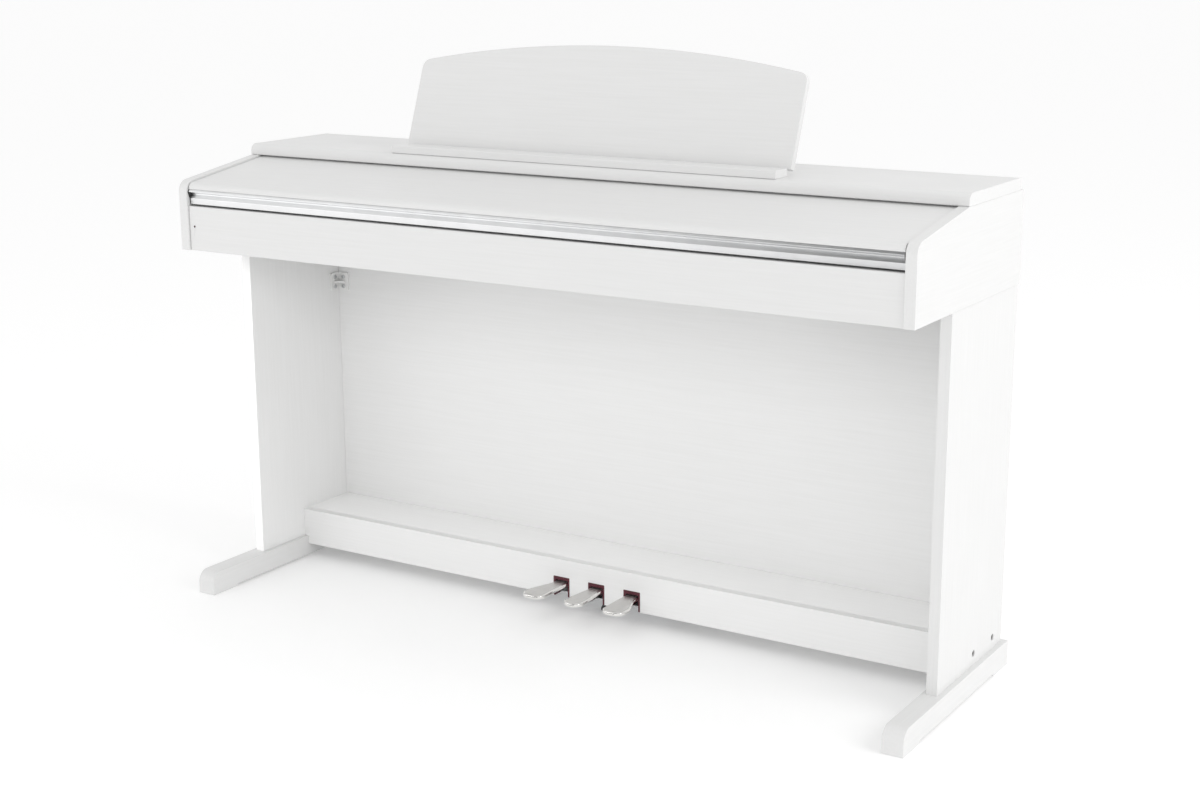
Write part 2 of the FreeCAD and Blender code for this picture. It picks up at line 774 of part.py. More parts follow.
def make_desk():
    """A leaning panel with an arched top edge and a recess behind its foot for each hinge."""
    body = doc.addObject("PartDesign::Body", "music_rest_desk")
    sketch = body.newObject("Sketcher::SketchObject", "desk_outline")
    sketch.AttachmentSupport = (origin_feature(body, "XZ_Plane"), [""])
    sketch.MapMode = "FlatFace"
    half = size["desk_half"]
    side = size["desk_side"]
    corners = [(-half, side), (-half, 0), (half, 0), (half, side)]
    vectors = [FreeCAD.Vector(x, z, 0) for x, z in corners]
    for start, end in zip(vectors, vectors[1:]):
        sketch.addGeometry(Part.LineSegment(start, end))
    crown = FreeCAD.Vector(0, size["desk_rise"], 0)
    sketch.addGeometry(Part.Arc(vectors[3], crown, vectors[0]))
    for index in (0, 1):
        sketch.addConstraint(Sketcher.Constraint("Coincident", index, 2, index + 1, 1))
    arc_start = 1 if sketch.Geometry[3].StartPoint.x > 0 else 2
    sketch.addConstraint(Sketcher.Constraint("Coincident", 2, 2, 3, arc_start))
    sketch.addConstraint(Sketcher.Constraint("Coincident", 0, 1, 3, 3 - arc_start))
    places = [(0, 1, "-desk_half", "desk_side"), (1, 1, "-desk_half", "0"), (2, 1, "desk_half", "0"),
              (2, 2, "desk_half", "desk_side")]
    for line, end, x, z in places:
        for kind, formula in (("DistanceX", x), ("DistanceY", z)):
            number = sketch.addConstraint(Sketcher.Constraint(kind, -1, 1, line, end, 1.0))
            bind(sketch, f"Constraints[{number}]", formula)
    number = sketch.addConstraint(Sketcher.Constraint("Radius", 3, 1700.0))
    rise = "(desk_rise - desk_side)"
    bind(sketch, f"Constraints[{number}]", f"(desk_half * desk_half + {rise} * {rise}) / (2 * {rise})")
    pad = body.newObject("PartDesign::Pad", "desk_pad")
    pad.Profile = sketch
    pad.Reversed = True
    bind(pad, "Length", "desk_thick")
    for sign in ("", "-"):
        centre = f"{sign}rest_hinge_x"
        recess = rectangle(f"{centre} - 17", f"{centre} + 17", "-1", "13")
        add_profile(body, "XZ", recess, "hinge_skin", "desk_thick", "Pocket")
    round_edges(body, "desk_corner", {"x": half, "z": side}, {"x": -half, "z": side})
    return lean_back(body)


def make_rest_hinges():
    """Two hinge brackets on the top board: ears with a pin between them."""
    pin_y, pin_z = desk_point("rest_pin_up", "rest_pin_in")
    deck = "top_base + top_thick"
    foot_x = ("rest_hinge_x - 15", "rest_hinge_x + 15")
    foot_y = ("ledge_front_y + ledge_depth", pin_y)
    foot = block("hinge_foot", foot_x, foot_y, (deck, f"{deck} + 1.5"))
    pieces = [foot]
    for name, low in (("near_ear", "rest_hinge_x - 15"), ("far_ear", "rest_hinge_x + 11")):
        ear_y = (f"({pin_y}) - 3.5", f"({pin_y}) + 3.5")
        pieces.append(block(name, (low, f"{low} + 4"), ear_y, (deck, f"({pin_z}) + 3.5")))
    pieces.append(rod("hinge_pin", "X", "2", "30", ("rest_hinge_x - 15", pin_y, pin_z)))
    return both_sides("music_rest_hinges", fuse("rest_hinge", *pieces))


def make_rest_fittings():
    """On the desk: a knuckle on each hinge pin, and two clips that hold the prop's ends."""
    low = "rest_pin_in - 3.6"
    knuckle_x = ("rest_hinge_x - 10.5", "rest_hinge_x + 10.5")
    knuckle = block("knuckle_blank", knuckle_x, (low, "desk_thick"), ("0.4", "13"))
    bore = rod("knuckle_bore", "X", "2.05", "24", ("rest_hinge_x - 12", "rest_pin_in", "rest_pin_up"))
    clip = block("clip_blank", ("prop_half - 7", "prop_half + 7"), ("desk_thick", "desk_thick + 6.4"),
                 ("prop_up - 5", "prop_up + 5"))
    hole = rod("clip_bore", "X", "wire_radius + 0.05", "16", ("prop_half - 8", "desk_thick + 3.2", "prop_up"))
    sides = [cut("knuckle", knuckle, bore), cut("clip", clip, hole)]
    fittings = group("music_rest_fittings", *sides, *[other_side(side) for side in sides])
    return lean_back(fittings)


def make_rest_prop():
    """A bent wire that props the desk: two stub ends in the clips, two legs and a crossbar."""
    start_y, start_z = desk_point("prop_up", "desk_thick + 3.2")
    leg_x = "prop_half - 12"
    leg = doc.addObject("Part::Cylinder", "prop_leg")
    turn = FreeCAD.Rotation(FreeCAD.Vector(1, 0, 0), 180 + size["prop_angle"])
    leg.Placement = FreeCAD.Placement(FreeCAD.Vector(), turn)
    bind(leg, ".Placement.Rotation.Angle", "(180 + prop_angle) * 1deg")
    bind(leg, "Radius", "wire_radius")
    bind(leg, "Height", "prop_length")
    place(leg, leg_x, start_y, start_z)
    stub = rod("prop_stub", "X", "wire_radius", "19", (leg_x, start_y, start_z))
    foot_y = f"({start_y}) + prop_length * sin(prop_angle * 1deg)"
    foot_z = f"({start_z}) - prop_length * cos(prop_angle * 1deg)"
    bar = rod("prop_bar", "X", "wire_radius", f"2 * ({leg_x})", (f"-({leg_x})", foot_y, foot_z))
    bends = []
    for name, y, z in (("upper_bend", start_y, start_z), ("lower_bend", foot_y, foot_z)):
        ball = doc.addObject("Part::Sphere", name)
        bind(ball, "Radius", "wire_radius")
        bends.append(place(ball, leg_x, y, z))
    side = [leg, stub] + bends
    return fuse("music_rest_prop", bar, *side, *[other_side(piece) for piece in side])


# ---------------------------------------------------------------------------
# Stand
# ---------------------------------------------------------------------------

LEG_INNER = "leg_outer - board_thick"
SCREW_PLACES = ((168, 63), (83, 63))
ANGLE_BOLTS = (-30, 140)


def make_leg(name, sign):
    """A side panel, counterbored on its outer face for the pedal box's screws."""
    low = "-leg_outer" if sign < 0 else LEG_INNER
    corners = rectangle("leg_front_y", "leg_back_y", "foot_top", "body_base")
    leg = board(name, "YZ", corners, low, "board_thick")
    start = "-leg_outer - 1" if sign < 0 else "leg_outer - 5"
    wells = [rod(f"{name}_well{y}", "X", "5.5", "6", (start, y, z)) for y, z in SCREW_PLACES]
    leg.Label = name + "_panel"
    result = cut(name + "_bored", leg, *wells)
    result.Label = name
    return result


def make_foot(name, low):
    """A bar with round-nosed ends, hollowed underneath between its two floor pads."""
    corners = [
        ("foot_front_y", "0"),
        ("foot_front_y + foot_pad", "0"),
        ("foot_front_y + foot_pad", "foot_recess"),
        ("foot_back_y - foot_pad", "foot_recess"),
        ("foot_back_y - foot_pad", "0"),
        ("foot_back_y", "0"),
        ("foot_back_y", "foot_top"),
        ("foot_front_y", "foot_top"),
    ]
    foot = board(name, "YZ", corners, low, "foot_width")
    round_edges(foot, "foot_round", {"y": size["foot_front_y"], "z": size["foot_top"]})
    return foot


def make_back_panel():
    reach = LEG_INNER
    foot_inner = "foot_outer - foot_width"
    low = "back_panel_low"
    corners = [
        (f"-({foot_inner})", low),
        (foot_inner, low),
        (foot_inner, "foot_top"),
        (reach, "foot_top"),
        (reach, "body_base"),
        (f"-({reach})", "body_base"),
        (f"-({reach})", "foot_top"),
        (f"-({foot_inner})", "foot_top"),
    ]
    return board("stand_back_panel", "XZ", corners, "back_panel_y", "board_thick - 2")


def make_pedal_front_board():
    """Front of the pedal box: stepped round the feet, with a notch for each pedal."""
    reach = LEG_INNER
    foot_inner = "foot_outer - foot_width"
    corners = [(f"-({foot_inner})", "pedal_base")]
    for centre in ("-notch_pitch", "0", "notch_pitch"):
        corners += [
            (f"{centre} - notch_half", "pedal_base"),
            (f"{centre} - notch_half", "notch_top"),
            (f"{centre} + notch_half", "notch_top"),
            (f"{centre} + notch_half", "pedal_base"),
        ]
    corners += [
        (foot_inner, "pedal_base"),
        (foot_inner, "foot_top"),
        (reach, "foot_top"),
        (reach, "pedal_box_top"),
        (f"-({reach})", "pedal_box_top"),
        (f"-({reach})", "foot_top"),
        (f"-({foot_inner})", "foot_top"),
    ]
    return board("pedal_front_board", "XZ", corners, "pedal_board_y", "board_thick")


def make_pedal_top_board():
    """Top of the pedal box, with a cleat glued under each end for the side bolts."""
    depth = ("pedal_board_y + board_thick", "back_panel_y")
    top = block("pedal_box_lid", (f"-({LEG_INNER})", LEG_INNER), depth,
                ("pedal_box_top - board_thick", "pedal_box_top"))
    cleat = block("cleat_blank", (f"{LEG_INNER} - 40", LEG_INNER), depth,
                  ("foot_top + 4", "pedal_box_top - board_thick"))
    return fuse("pedal_top_board", top, cleat, other_side(cleat))


def make_pedal_felts():
    """Felt glued round the top and sides of each notch."""
    liners = []
    for index in (-1, 0, 1):
        centre = f"{index} * notch_pitch"
        outer = block(
            f"felt_outer{index + 2}",
            (f"{centre} - notch_half", f"{centre} + notch_half"),
            ("pedal_board_y + 0.5", "pedal_board_y + board_thick"),
            ("pedal_base + 0.5", "notch_top"),
        )
        inner = block(
            f"felt_inner{index + 2}",
            (f"{centre} - notch_half + 2.5", f"{centre} + notch_half - 2.5"),
            ("pedal_board_y - 1", "pedal_board_y + board_thick + 1"),
            ("pedal_base - 1", "notch_top - 3.5"),
        )
        liners.append(cut(f"felt{index + 2}", outer, inner))
    return group("pedal_felts", *liners)


def make_pedal(name, index):
    """A cast lever: a rounded toe that spreads outwards, a blade and a boss on the pivot rod."""
    centre = f"{index} * notch_pitch"
    reach = {-1: ("toe_spread", "pedal_half"), 0: ("toe_half", "toe_half"), 1: ("pedal_half", "toe_spread")}
    left_toe, right_toe = reach[index]
    corners = [
        (f"{centre} - pedal_half", "pedal_pivot_y"),
        (f"{centre} - pedal_half", "flare_y"),
        (f"{centre} - {left_toe}", "toe_y"),
        (f"{centre} - {left_toe}", "pedal_tip_y"),
        (f"{centre} + {right_toe}", "pedal_tip_y"),
        (f"{centre} + {right_toe}", "toe_y"),
        (f"{centre} + pedal_half", "flare_y"),
        (f"{centre} + pedal_half", "pedal_pivot_y"),
    ]
    body = doc.addObject("PartDesign::Body", name + "_blade")
    add_profile(body, "XY", corners, "pedal_low", "pedal_high - pedal_low")
    middle = index * size["notch_pitch"]
    sides = [(-1, left_toe), (1, right_toe)]
    toes = [middle + sign * size[toe] for sign, toe in sides]
    round_edges(body, "toe_round", *[{"x": x, "y": size["pedal_tip_y"]} for x in toes])
    flared = [sign for sign, toe in sides if toe != "pedal_half"]
    necks = [middle + sign * size["pedal_half"] for sign in flared]
    round_edges(body, "flare_round", *[{"x": x, "y": size["flare_y"]} for x in necks])
    bevel_edges(body, "1.5", {"y": size["pedal_tip_y"], "z": size["pedal_high"]})
    boss_start = (f"{centre} - pedal_half", "pedal_pivot_y", "pedal_pivot_z")
    boss = rod(name + "_boss", "X", "9", "pedal_half * 2", boss_start)
    solid = fuse(name + "_solid", body, boss)
    bore_start = (f"{centre} - pedal_half - 1", "pedal_pivot_y", "pedal_pivot_z")
    bore = rod(name + "_bore", "X", "4.05", "pedal_half * 2 + 2", bore_start)
    return cut(name, solid, bore)


def make_pedal_tray():
    """Steel tray under the pedals, with an ear each side of every pedal for the pivot rod."""
    width = ("-125", "125")
    floor = block("tray_floor", width, ("pedal_board_y + board_thick", "back_panel_y"), ("28", "31"))
    wall_z = ("28", "pedal_box_top - board_thick")
    wall = block("tray_wall", width, ("back_panel_y - 3", "back_panel_y"), wall_z)
    pieces = [floor, wall]
    for number, x in enumerate((-111, -37, 37, 111), start=1):
        ear_y = ("pedal_pivot_y - 14", "back_panel_y")
        pieces.append(block(f"tray_ear{number}", (x - 2, x + 2), ear_y, ("28", "58")))
    tray = fuse("tray_solid", *pieces)
    bore = rod("tray_bore", "X", "4.05", "260", ("-130", "pedal_pivot_y", "pedal_pivot_z"))
    nut = rod("foot_thread", "Z", "5.2", "12", ("0", "100", "25"))
    return cut("pedal_tray", tray, bore, nut)


def make_pedal_pivot_rod():
    return rod("pedal_pivot_rod", "X", "4", "236", ("-118", "pedal_pivot_y", "pedal_pivot_z"))


def make_levelling_foot():
    """Screw with a round pad, turned down to the floor under the middle of the pedal box."""
    pad = disc_cone("levelling_pad", "18", "15", "9", ("0", "100", "0"))
    stem = rod("levelling_stem", "Z", "5", "26", ("0", "100", "8"))
    return fuse("levelling_foot", pad, stem)


def make_body_angles():
    """Steel angle along the top of each leg's inner face, which carries the key bed."""
    corners = [
        (LEG_INNER, "body_base - 25"),
        (LEG_INNER, "body_base"),
        (f"{LEG_INNER} - 25", "body_base"),
        (f"{LEG_INNER} - 25", "body_base - 2"),
        (f"{LEG_INNER} - 2", "body_base - 2"),
        (f"{LEG_INNER} - 2", "body_base - 25"),
    ]
    return both_sides("body_angles", board("angle_bar", "XZ", corners, "leg_front_y + 15", "220"))


def make_corner_brackets():
    """Moulded corner pieces between each leg and the back panel."""
    reach = LEG_INNER
    height = ("515", "550")
    flange = block("leg_flange", (f"{reach} - 4", reach), ("back_panel_y - 27", "back_panel_y"), height)
    wing = block("panel_flange", (f"{reach} - 27", reach), ("back_panel_y - 4", "back_panel_y"), height)
    rib_corners = [
        (f"{reach} - 4", "back_panel_y - 22"),
        (f"{reach} - 4", "back_panel_y - 4"),
        (f"{reach} - 22", "back_panel_y - 4"),
    ]
    rib = board("bracket_rib", "XY", rib_corners, "531", "3")
    solid = fuse("bracket_solid", flange, wing, rib)
    holes = []
    for z in (523, 542):
        holes.append(rod(f"flange_hole{z}", "X", "2", "8", (f"{reach} - 6", "back_panel_y - 16", z)))
        holes.append(rod(f"wing_hole{z}", "Y", "2", "8", (f"{reach} - 16", "back_panel_y - 6", z)))
    return both_sides("corner_brackets", cut("bracket", solid, *holes))


def make_bracket_screws():
    """Pan-head screws through the corner brackets, into the legs and the back panel."""
    reach = LEG_INNER
    screws = []
    for z in (523, 542):
        head = rod(f"leg_head{z}", "X", "4", "2.5", (f"{reach} - 6.5", "back_panel_y - 16", z))
        shank = rod(f"leg_shank{z}", "X", "1.9", "15", (f"{reach} - 4", "back_panel_y - 16", z))
        screws.append(fuse(f"leg_screw{z}", head, shank))
        head = rod(f"panel_head{z}", "Y", "4", "2.5", (f"{reach} - 16", "back_panel_y - 6.5", z))
        shank = rod(f"panel_shank{z}", "Y", "1.9", "15", (f"{reach} - 16", "back_panel_y - 4", z))
        screws.append(fuse(f"panel_screw{z}", head, shank))
    return group("bracket_screws", *screws, *[other_side(screw) for screw in screws])


def make_stand_bolts():
    """Bolts through the legs into the pedal box, and through the angles under the body."""
    bolts = []
    for number, (y, z) in enumerate(SCREW_PLACES, start=1):
        head = rod(f"side_head{number}", "X", "5", "3", ("leg_outer - 5", y, z))
        shank = rod(f"side_shank{number}", "X", "3", "42", ("leg_outer - 47", y, z))
        bolts.append(fuse(f"side_bolt{number}", head, shank))
    for number, y in enumerate(ANGLE_BOLTS, start=1):
        x = f"{LEG_INNER} - 15"
        head = rod(f"bed_head{number}", "Z", "5", "3", (x, y, "body_base - 5"))
        shank = rod(f"bed_shank{number}", "Z", "3", "14", (x, y, "body_base - 2"))
        bolts.append(fuse(f"bed_bolt{number}", head, shank))
        head = rod(f"leg_bolt_head{number}", "X", "5", "3", (f"{LEG_INNER} - 5", y, "body_base - 15"))
        shank = rod(f"leg_bolt_shank{number}", "X", "3", "16", (f"{LEG_INNER} - 2", y, "body_base - 15"))
        bolts.append(fuse(f"leg_bolt{number}", head, shank))
    return group("stand_bolts", *bolts, *[other_side(bolt) for bolt in bolts])


# ---------------------------------------------------------------------------
# Make, check and write every sub-part
# ---------------------------------------------------------------------------

sub_parts = [
    make_cheek("left_cheek", "-body_half"),
    make_cheek("right_cheek", INNER),
    make_top_board(),
    make_front_rail(),
    make_pilot_lamp(),
    make_key_bed(),
    make_speakers(),
    make_speaker_grilles(),
    make_rear_board(),
    make_connector_panel(),
    make_control_panel(),
    make_main_board(),
    make_key_frame(),
    make_key_felts(),
    make_end_blocks(),
    make_power_button(),
    make_volume_knob(),
    make_lid_panel(),
    make_lid_grip_rail(),
    make_lid_gear_shaft(),
    make_lid_tracks(),
    make_lid_runners(),
    make_lid_brackets(),
    make_ledge(),
    make_desk(),
    make_rest_hinges(),
    make_rest_fittings(),
    make_rest_prop(),
    make_leg("left_leg", -1),
    make_leg("right_leg", 1),
    make_foot("left_foot", "-foot_outer"),
    make_foot("right_foot", "foot_outer - foot_width"),
    make_back_panel(),
    make_pedal_front_board(),
    make_pedal_top_board(),
    make_pedal_felts(),
    make_pedal("pedal_left", -1),
    make_pedal("pedal_middle", 0),
    make_pedal("pedal_right", 1),
    make_pedal_tray(),
    make_pedal_pivot_rod(),
    make_levelling_foot(),
    make_body_angles(),
    make_corner_brackets(),
    make_bracket_screws(),
    make_stand_bolts(),
]
sub_parts += [make_function_button(name) for name in BUTTON_PLACES]
sub_parts += [make_white_keys(note) for note in WHITE_NOTES]
sub_parts += [make_black_keys(note) for note in BLACK_NOTES]
doc.recompute()

for item in doc.Objects:
    if "Invalid" in item.State or "Error" in item.State:
        raise RuntimeError(f"{item.Label} failed: {item.State}")
    if item.TypeId == "PartDesign::Pocket" and item.Shape.Volume > item.BaseFeature.Shape.Volume - 1:
        raise RuntimeError(f"{item.Label} cuts nothing")
for part in sub_parts:
    if part.Shape.isNull() or not part.Shape.isValid() or not part.Shape.Solids:
        raise RuntimeError(f"{part.Label} has no valid solid")

os.makedirs("parts", exist_ok=True)
for part in sub_parts:
    part.Shape.exportStep(f"parts/{part.Label}.step")
print(len(sub_parts), "sub-parts written")
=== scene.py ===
import bmesh
import bpy
import math
from mathutils import Matrix, Vector, noise


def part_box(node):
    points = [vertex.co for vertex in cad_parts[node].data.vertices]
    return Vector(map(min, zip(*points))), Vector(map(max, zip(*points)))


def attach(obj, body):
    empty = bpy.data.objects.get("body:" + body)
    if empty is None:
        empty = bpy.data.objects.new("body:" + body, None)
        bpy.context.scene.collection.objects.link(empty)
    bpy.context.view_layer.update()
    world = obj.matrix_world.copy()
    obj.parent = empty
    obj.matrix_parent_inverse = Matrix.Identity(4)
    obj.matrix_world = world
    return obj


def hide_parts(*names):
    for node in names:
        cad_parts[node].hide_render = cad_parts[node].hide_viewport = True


# A white console digital piano on a panel stand: the looks round its fixed CAD frame.
# Lengths are in metres, +X is the player's right and the player sits on the -Y side.

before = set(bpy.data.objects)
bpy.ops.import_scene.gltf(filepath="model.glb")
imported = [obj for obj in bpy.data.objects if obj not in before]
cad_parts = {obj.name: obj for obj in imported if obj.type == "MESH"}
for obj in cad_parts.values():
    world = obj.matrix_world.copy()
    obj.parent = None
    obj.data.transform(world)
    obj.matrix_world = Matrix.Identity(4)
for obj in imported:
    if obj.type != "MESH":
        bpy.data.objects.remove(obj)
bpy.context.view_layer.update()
MM = 0.001
X, Y, Z = 0, 1, 2
SIDES = (-1, 1)
FULL_TURN = 2 * math.pi


# ---------------------------------------------------------------------------
# Camera, floor and light
# ---------------------------------------------------------------------------

def make_camera():
    """The viewpoint: to the player's right of the piano, at about chin height."""
    data = bpy.data.cameras.new("camera")
    data.lens = 56.41
    data.sensor_width = 36
    camera = bpy.data.objects.new("camera", data)
    turn = Matrix.Rotation(math.radians(31.97), 4, "Z")
    tilt = Matrix.Rotation(math.radians(90 - 13.8), 4, "X")
    roll = Matrix.Rotation(math.radians(-0.26), 4, "Z")
    camera.matrix_world = Matrix.Translation((1.6936, -2.6474, 1.1849)) @ turn @ tilt @ roll
    bpy.context.scene.collection.objects.link(camera)
    bpy.context.scene.camera = camera


def aimed(place, aim):
    """A matrix at a place whose -Z axis points at the aim."""
    direction = Vector(aim) - Vector(place)
    return Matrix.Translation(place) @ direction.to_track_quat("-Z", "Y").to_matrix().to_4x4()


def make_light(name, place, aim, size, power):
    data = bpy.data.lights.new(name, "AREA")
    data.shape = "RECTANGLE"
    data.size, data.size_y = size
    data.energy = power
    lamp = bpy.data.objects.new(name, data)
    lamp.matrix_world = aimed(place, aim)
    bpy.context.scene.collection.objects.link(lamp)
    return lamp


def make_fill(name, place, aim, size, power, receivers):
    """A light that only reaches the nodes named."""
    lamp = make_light(name, place, aim, size, power)
    lamp.light_linking.receiver_collection = bpy.data.collections.new(name + "_receivers")
    for node in receivers:
        lamp.light_linking.receiver_collection.objects.link(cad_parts[node])


def make_sheet(name, size, material):
    """A flat stage sheet, centred on its own origin."""
    half_wide, half_high = size[0] / 2, size[1] / 2
    mesh = bpy.data.meshes.new(name)
    corners = [(x * half_wide, y * half_high, 0) for x, y in ((-1, -1), (1, -1), (1, 1), (-1, 1))]
    mesh.from_pydata(corners, [], [(0, 1, 2, 3)])
    mesh.materials.append(material)
    sheet = bpy.data.objects.new(name, mesh)
    bpy.context.scene.collection.objects.link(sheet)
    return sheet


def make_dark_card(name, place, aim, size):
    """A black card that only shows as a reflection in the metal parts."""
    card = make_sheet(name, size, new_material(name + "_paper", (0.01, 0.01, 0.01), 0.9))
    card.matrix_world = aimed(place, aim)
    card.visible_camera = False
    card.visible_diffuse = False
    card.visible_shadow = False


def make_studio():
    """A pale floor and white surround, two soft boxes, two fills and three dark cards."""
    world = bpy.data.worlds.new("surround")
    world.use_nodes = True
    nodes, links = world.node_tree.nodes, world.node_tree.links
    place = nodes.new("ShaderNodeTexCoord")
    split = nodes.new("ShaderNodeSeparateXYZ")
    fade = nodes.new("ShaderNodeMapRange")
    fade.inputs["To Min"].default_value = 0.99
    fade.inputs["To Max"].default_value = 0.81
    links.new(place.outputs["Generated"], split.inputs["Vector"])
    links.new(split.outputs["Z"], fade.inputs["Value"])
    nodes["Background"].inputs["Color"].default_value = (1, 1, 1, 1)
    links.new(fade.outputs["Result"], nodes["Background"].inputs["Strength"])
    bpy.context.scene.world = world
    bpy.context.scene.view_settings.view_transform = "Standard"

    paint = new_material("floor_paint", (0.95, 0.95, 0.95), 0.8, {"Specular IOR Level": 0.1})
    shader_of(paint).inputs["Emission Color"].default_value = (1, 1, 1, 1)
    shader_of(paint).inputs["Emission Strength"].default_value = 0.14
    vary_roughness(paint, noise_in(paint, ANY, 3), 0.75, 0.85)
    make_sheet("floor", (80, 80), paint)

    make_light("right_soft_box", (3.8, -0.4, 2.6), (0, 0, 0.6), (2.2, 2.2), 40)
    make_light("left_soft_box", (-2.4, -2.6, 1.2), (0, 0, 0.5), (1.8, 1.4), 7)
    make_fill("knee_space_fill", (0.1, -2.0, 1.35), (0, 0.1, 0.2), (2.2, 0.8), 10,
              ("stand_back_panel", "pedal_front_board"))
    make_fill("low_fill", (0.1, -2.0, 1.35), (0, 0.1, 0.1), (2.2, 0.8), 33,
              ("left_leg", "pedal_top_board"))
    make_dark_card("high_dark_card", (0.1, -1.9, 2.5), (0.6, -0.2, 0.75), (1.6, 2.4))
    make_dark_card("low_dark_card", (0.4, -1.2, 0.01), (0.4, -1.2, 1), (1.1, 0.9))
    make_dark_card("pedal_dark_card", (-0.1, -0.24, 0.005), (-0.1, -0.24, 1), (0.36, 0.13))


# ---------------------------------------------------------------------------
# Materials
# ---------------------------------------------------------------------------

def shader_of(material):
    return material.node_tree.nodes["Principled BSDF"]


def new_material(name, colour, roughness, sockets=None):
    material = bpy.data.materials.new(name)
    material.use_nodes = True
    shader = shader_of(material)
    shader.inputs["Base Color"].default_value = (*colour, 1)
    shader.inputs["Roughness"].default_value = roughness
    for socket, value in (sockets or {}).items():
        shader.inputs[socket].default_value = value
    return material


def noise_in(material, stretch, scale, detail=3.0):
    """Noise in the piece's own coordinates: a small stretch draws it out along that axis."""
    nodes, links = material.node_tree.nodes, material.node_tree.links
    place = nodes.new("ShaderNodeTexCoord")
    mapping = nodes.new("ShaderNodeMapping")
    mapping.inputs["Scale"].default_value = stretch
    pattern = nodes.new("ShaderNodeTexNoise")
    pattern.inputs["Scale"].default_value = scale
    pattern.inputs["Detail"].default_value = detail
    links.new(place.outputs["Object"], mapping.inputs["Vector"])
    links.new(mapping.outputs["Vector"], pattern.inputs["Vector"])
    return pattern.outputs["Fac"]


# How far a noise is drawn out along an axis, and the range that its values mostly fill.
ANY = (1, 1, 1)
ALONG_X, ALONG_Y, ALONG_Z = (0.03, 1, 1), (1, 0.03, 1), (1, 1, 0.03)
NOISE_LOW, NOISE_HIGH = 0.3, 0.7


def vary_colour(material, pattern, dark, light):
    nodes, links = material.node_tree.nodes, material.node_tree.links
    ramp = nodes.new("ShaderNodeValToRGB")
    ramp.color_ramp.elements[0].position = NOISE_LOW
    ramp.color_ramp.elements[0].color = (*dark, 1)
    ramp.color_ramp.elements[1].position = NOISE_HIGH
    ramp.color_ramp.elements[1].color = (*light, 1)
    links.new(pattern, ramp.inputs["Fac"])
    links.new(ramp.outputs["Color"], shader_of(material).inputs["Base Color"])


def vary_roughness(material, pattern, low, high):
    nodes, links = material.node_tree.nodes, material.node_tree.links
    spread = nodes.new("ShaderNodeMapRange")
    spread.inputs["From Min"].default_value = NOISE_LOW
    spread.inputs["From Max"].default_value = NOISE_HIGH
    spread.inputs["To Min"].default_value = low
    spread.inputs["To Max"].default_value = high
    links.new(pattern, spread.inputs["Value"])
    links.new(spread.outputs["Result"], shader_of(material).inputs["Roughness"])


def relief(material, pattern, depth):
    """Fine surface relief of the given depth, on top of any relief already there."""
    nodes, links = material.node_tree.nodes, material.node_tree.links
    bump = nodes.new("ShaderNodeBump")
    bump.inputs["Distance"].default_value = depth
    normal = shader_of(material).inputs["Normal"]
    if normal.is_linked:
        links.new(normal.links[0].from_socket, bump.inputs["Normal"])
    links.new(pattern, bump.inputs["Height"])
    links.new(bump.outputs["Normal"], normal)


def white_foil(name, grain):
    """Satin white foil on chipboard: an orange-peel skin over a faint printed grain."""
    material = new_material(name, (0.78, 0.78, 0.776), 0.42, {"Specular IOR Level": 0.4})
    grain_noise = noise_in(material, grain, 260, 5)
    vary_colour(material, grain_noise, (0.768, 0.768, 0.763), (0.79, 0.79, 0.787))
    vary_roughness(material, noise_in(material, ANY, 14), 0.36, 0.47)
    relief(material, noise_in(material, ANY, 900, 1), 0.00003)
    relief(material, grain_noise, 0.00005)
    return material


def metal(name, colour, roughness, brushing, depth=0.00002, scale=1400):
    material = new_material(name, colour, sum(roughness) / 2, {"Metallic": 1.0})
    lines = noise_in(material, brushing, scale, 2)
    dark = tuple(0.94 * value for value in colour)
    vary_colour(material, noise_in(material, ANY, 30), dark, colour)
    vary_roughness(material, lines, *roughness)
    relief(material, lines, depth)
    return material


def plastic(name, colour, roughness, grain_depth, sockets=None):
    material = new_material(name, colour, sum(roughness) / 2, sockets)
    dark = tuple(0.93 * value for value in colour)
    vary_colour(material, noise_in(material, ANY, 22), dark, colour)
    vary_roughness(material, noise_in(material, ANY, 60), *roughness)
    relief(material, noise_in(material, ANY, 1600, 1), grain_depth)
    return material


def felt(name, dark, light):
    """Pressed wool: short tangled fibres with a soft sheen."""
    material = new_material(name, light, 0.95, {"Sheen Weight": 0.5, "Sheen Roughness": 0.5})
    fibres = noise_in(material, ANY, 1100, 6)
    vary_colour(material, fibres, dark, light)
    relief(material, fibres, 0.0006)
    relief(material, noise_in(material, ANY, 240, 2), 0.0005)
    return material


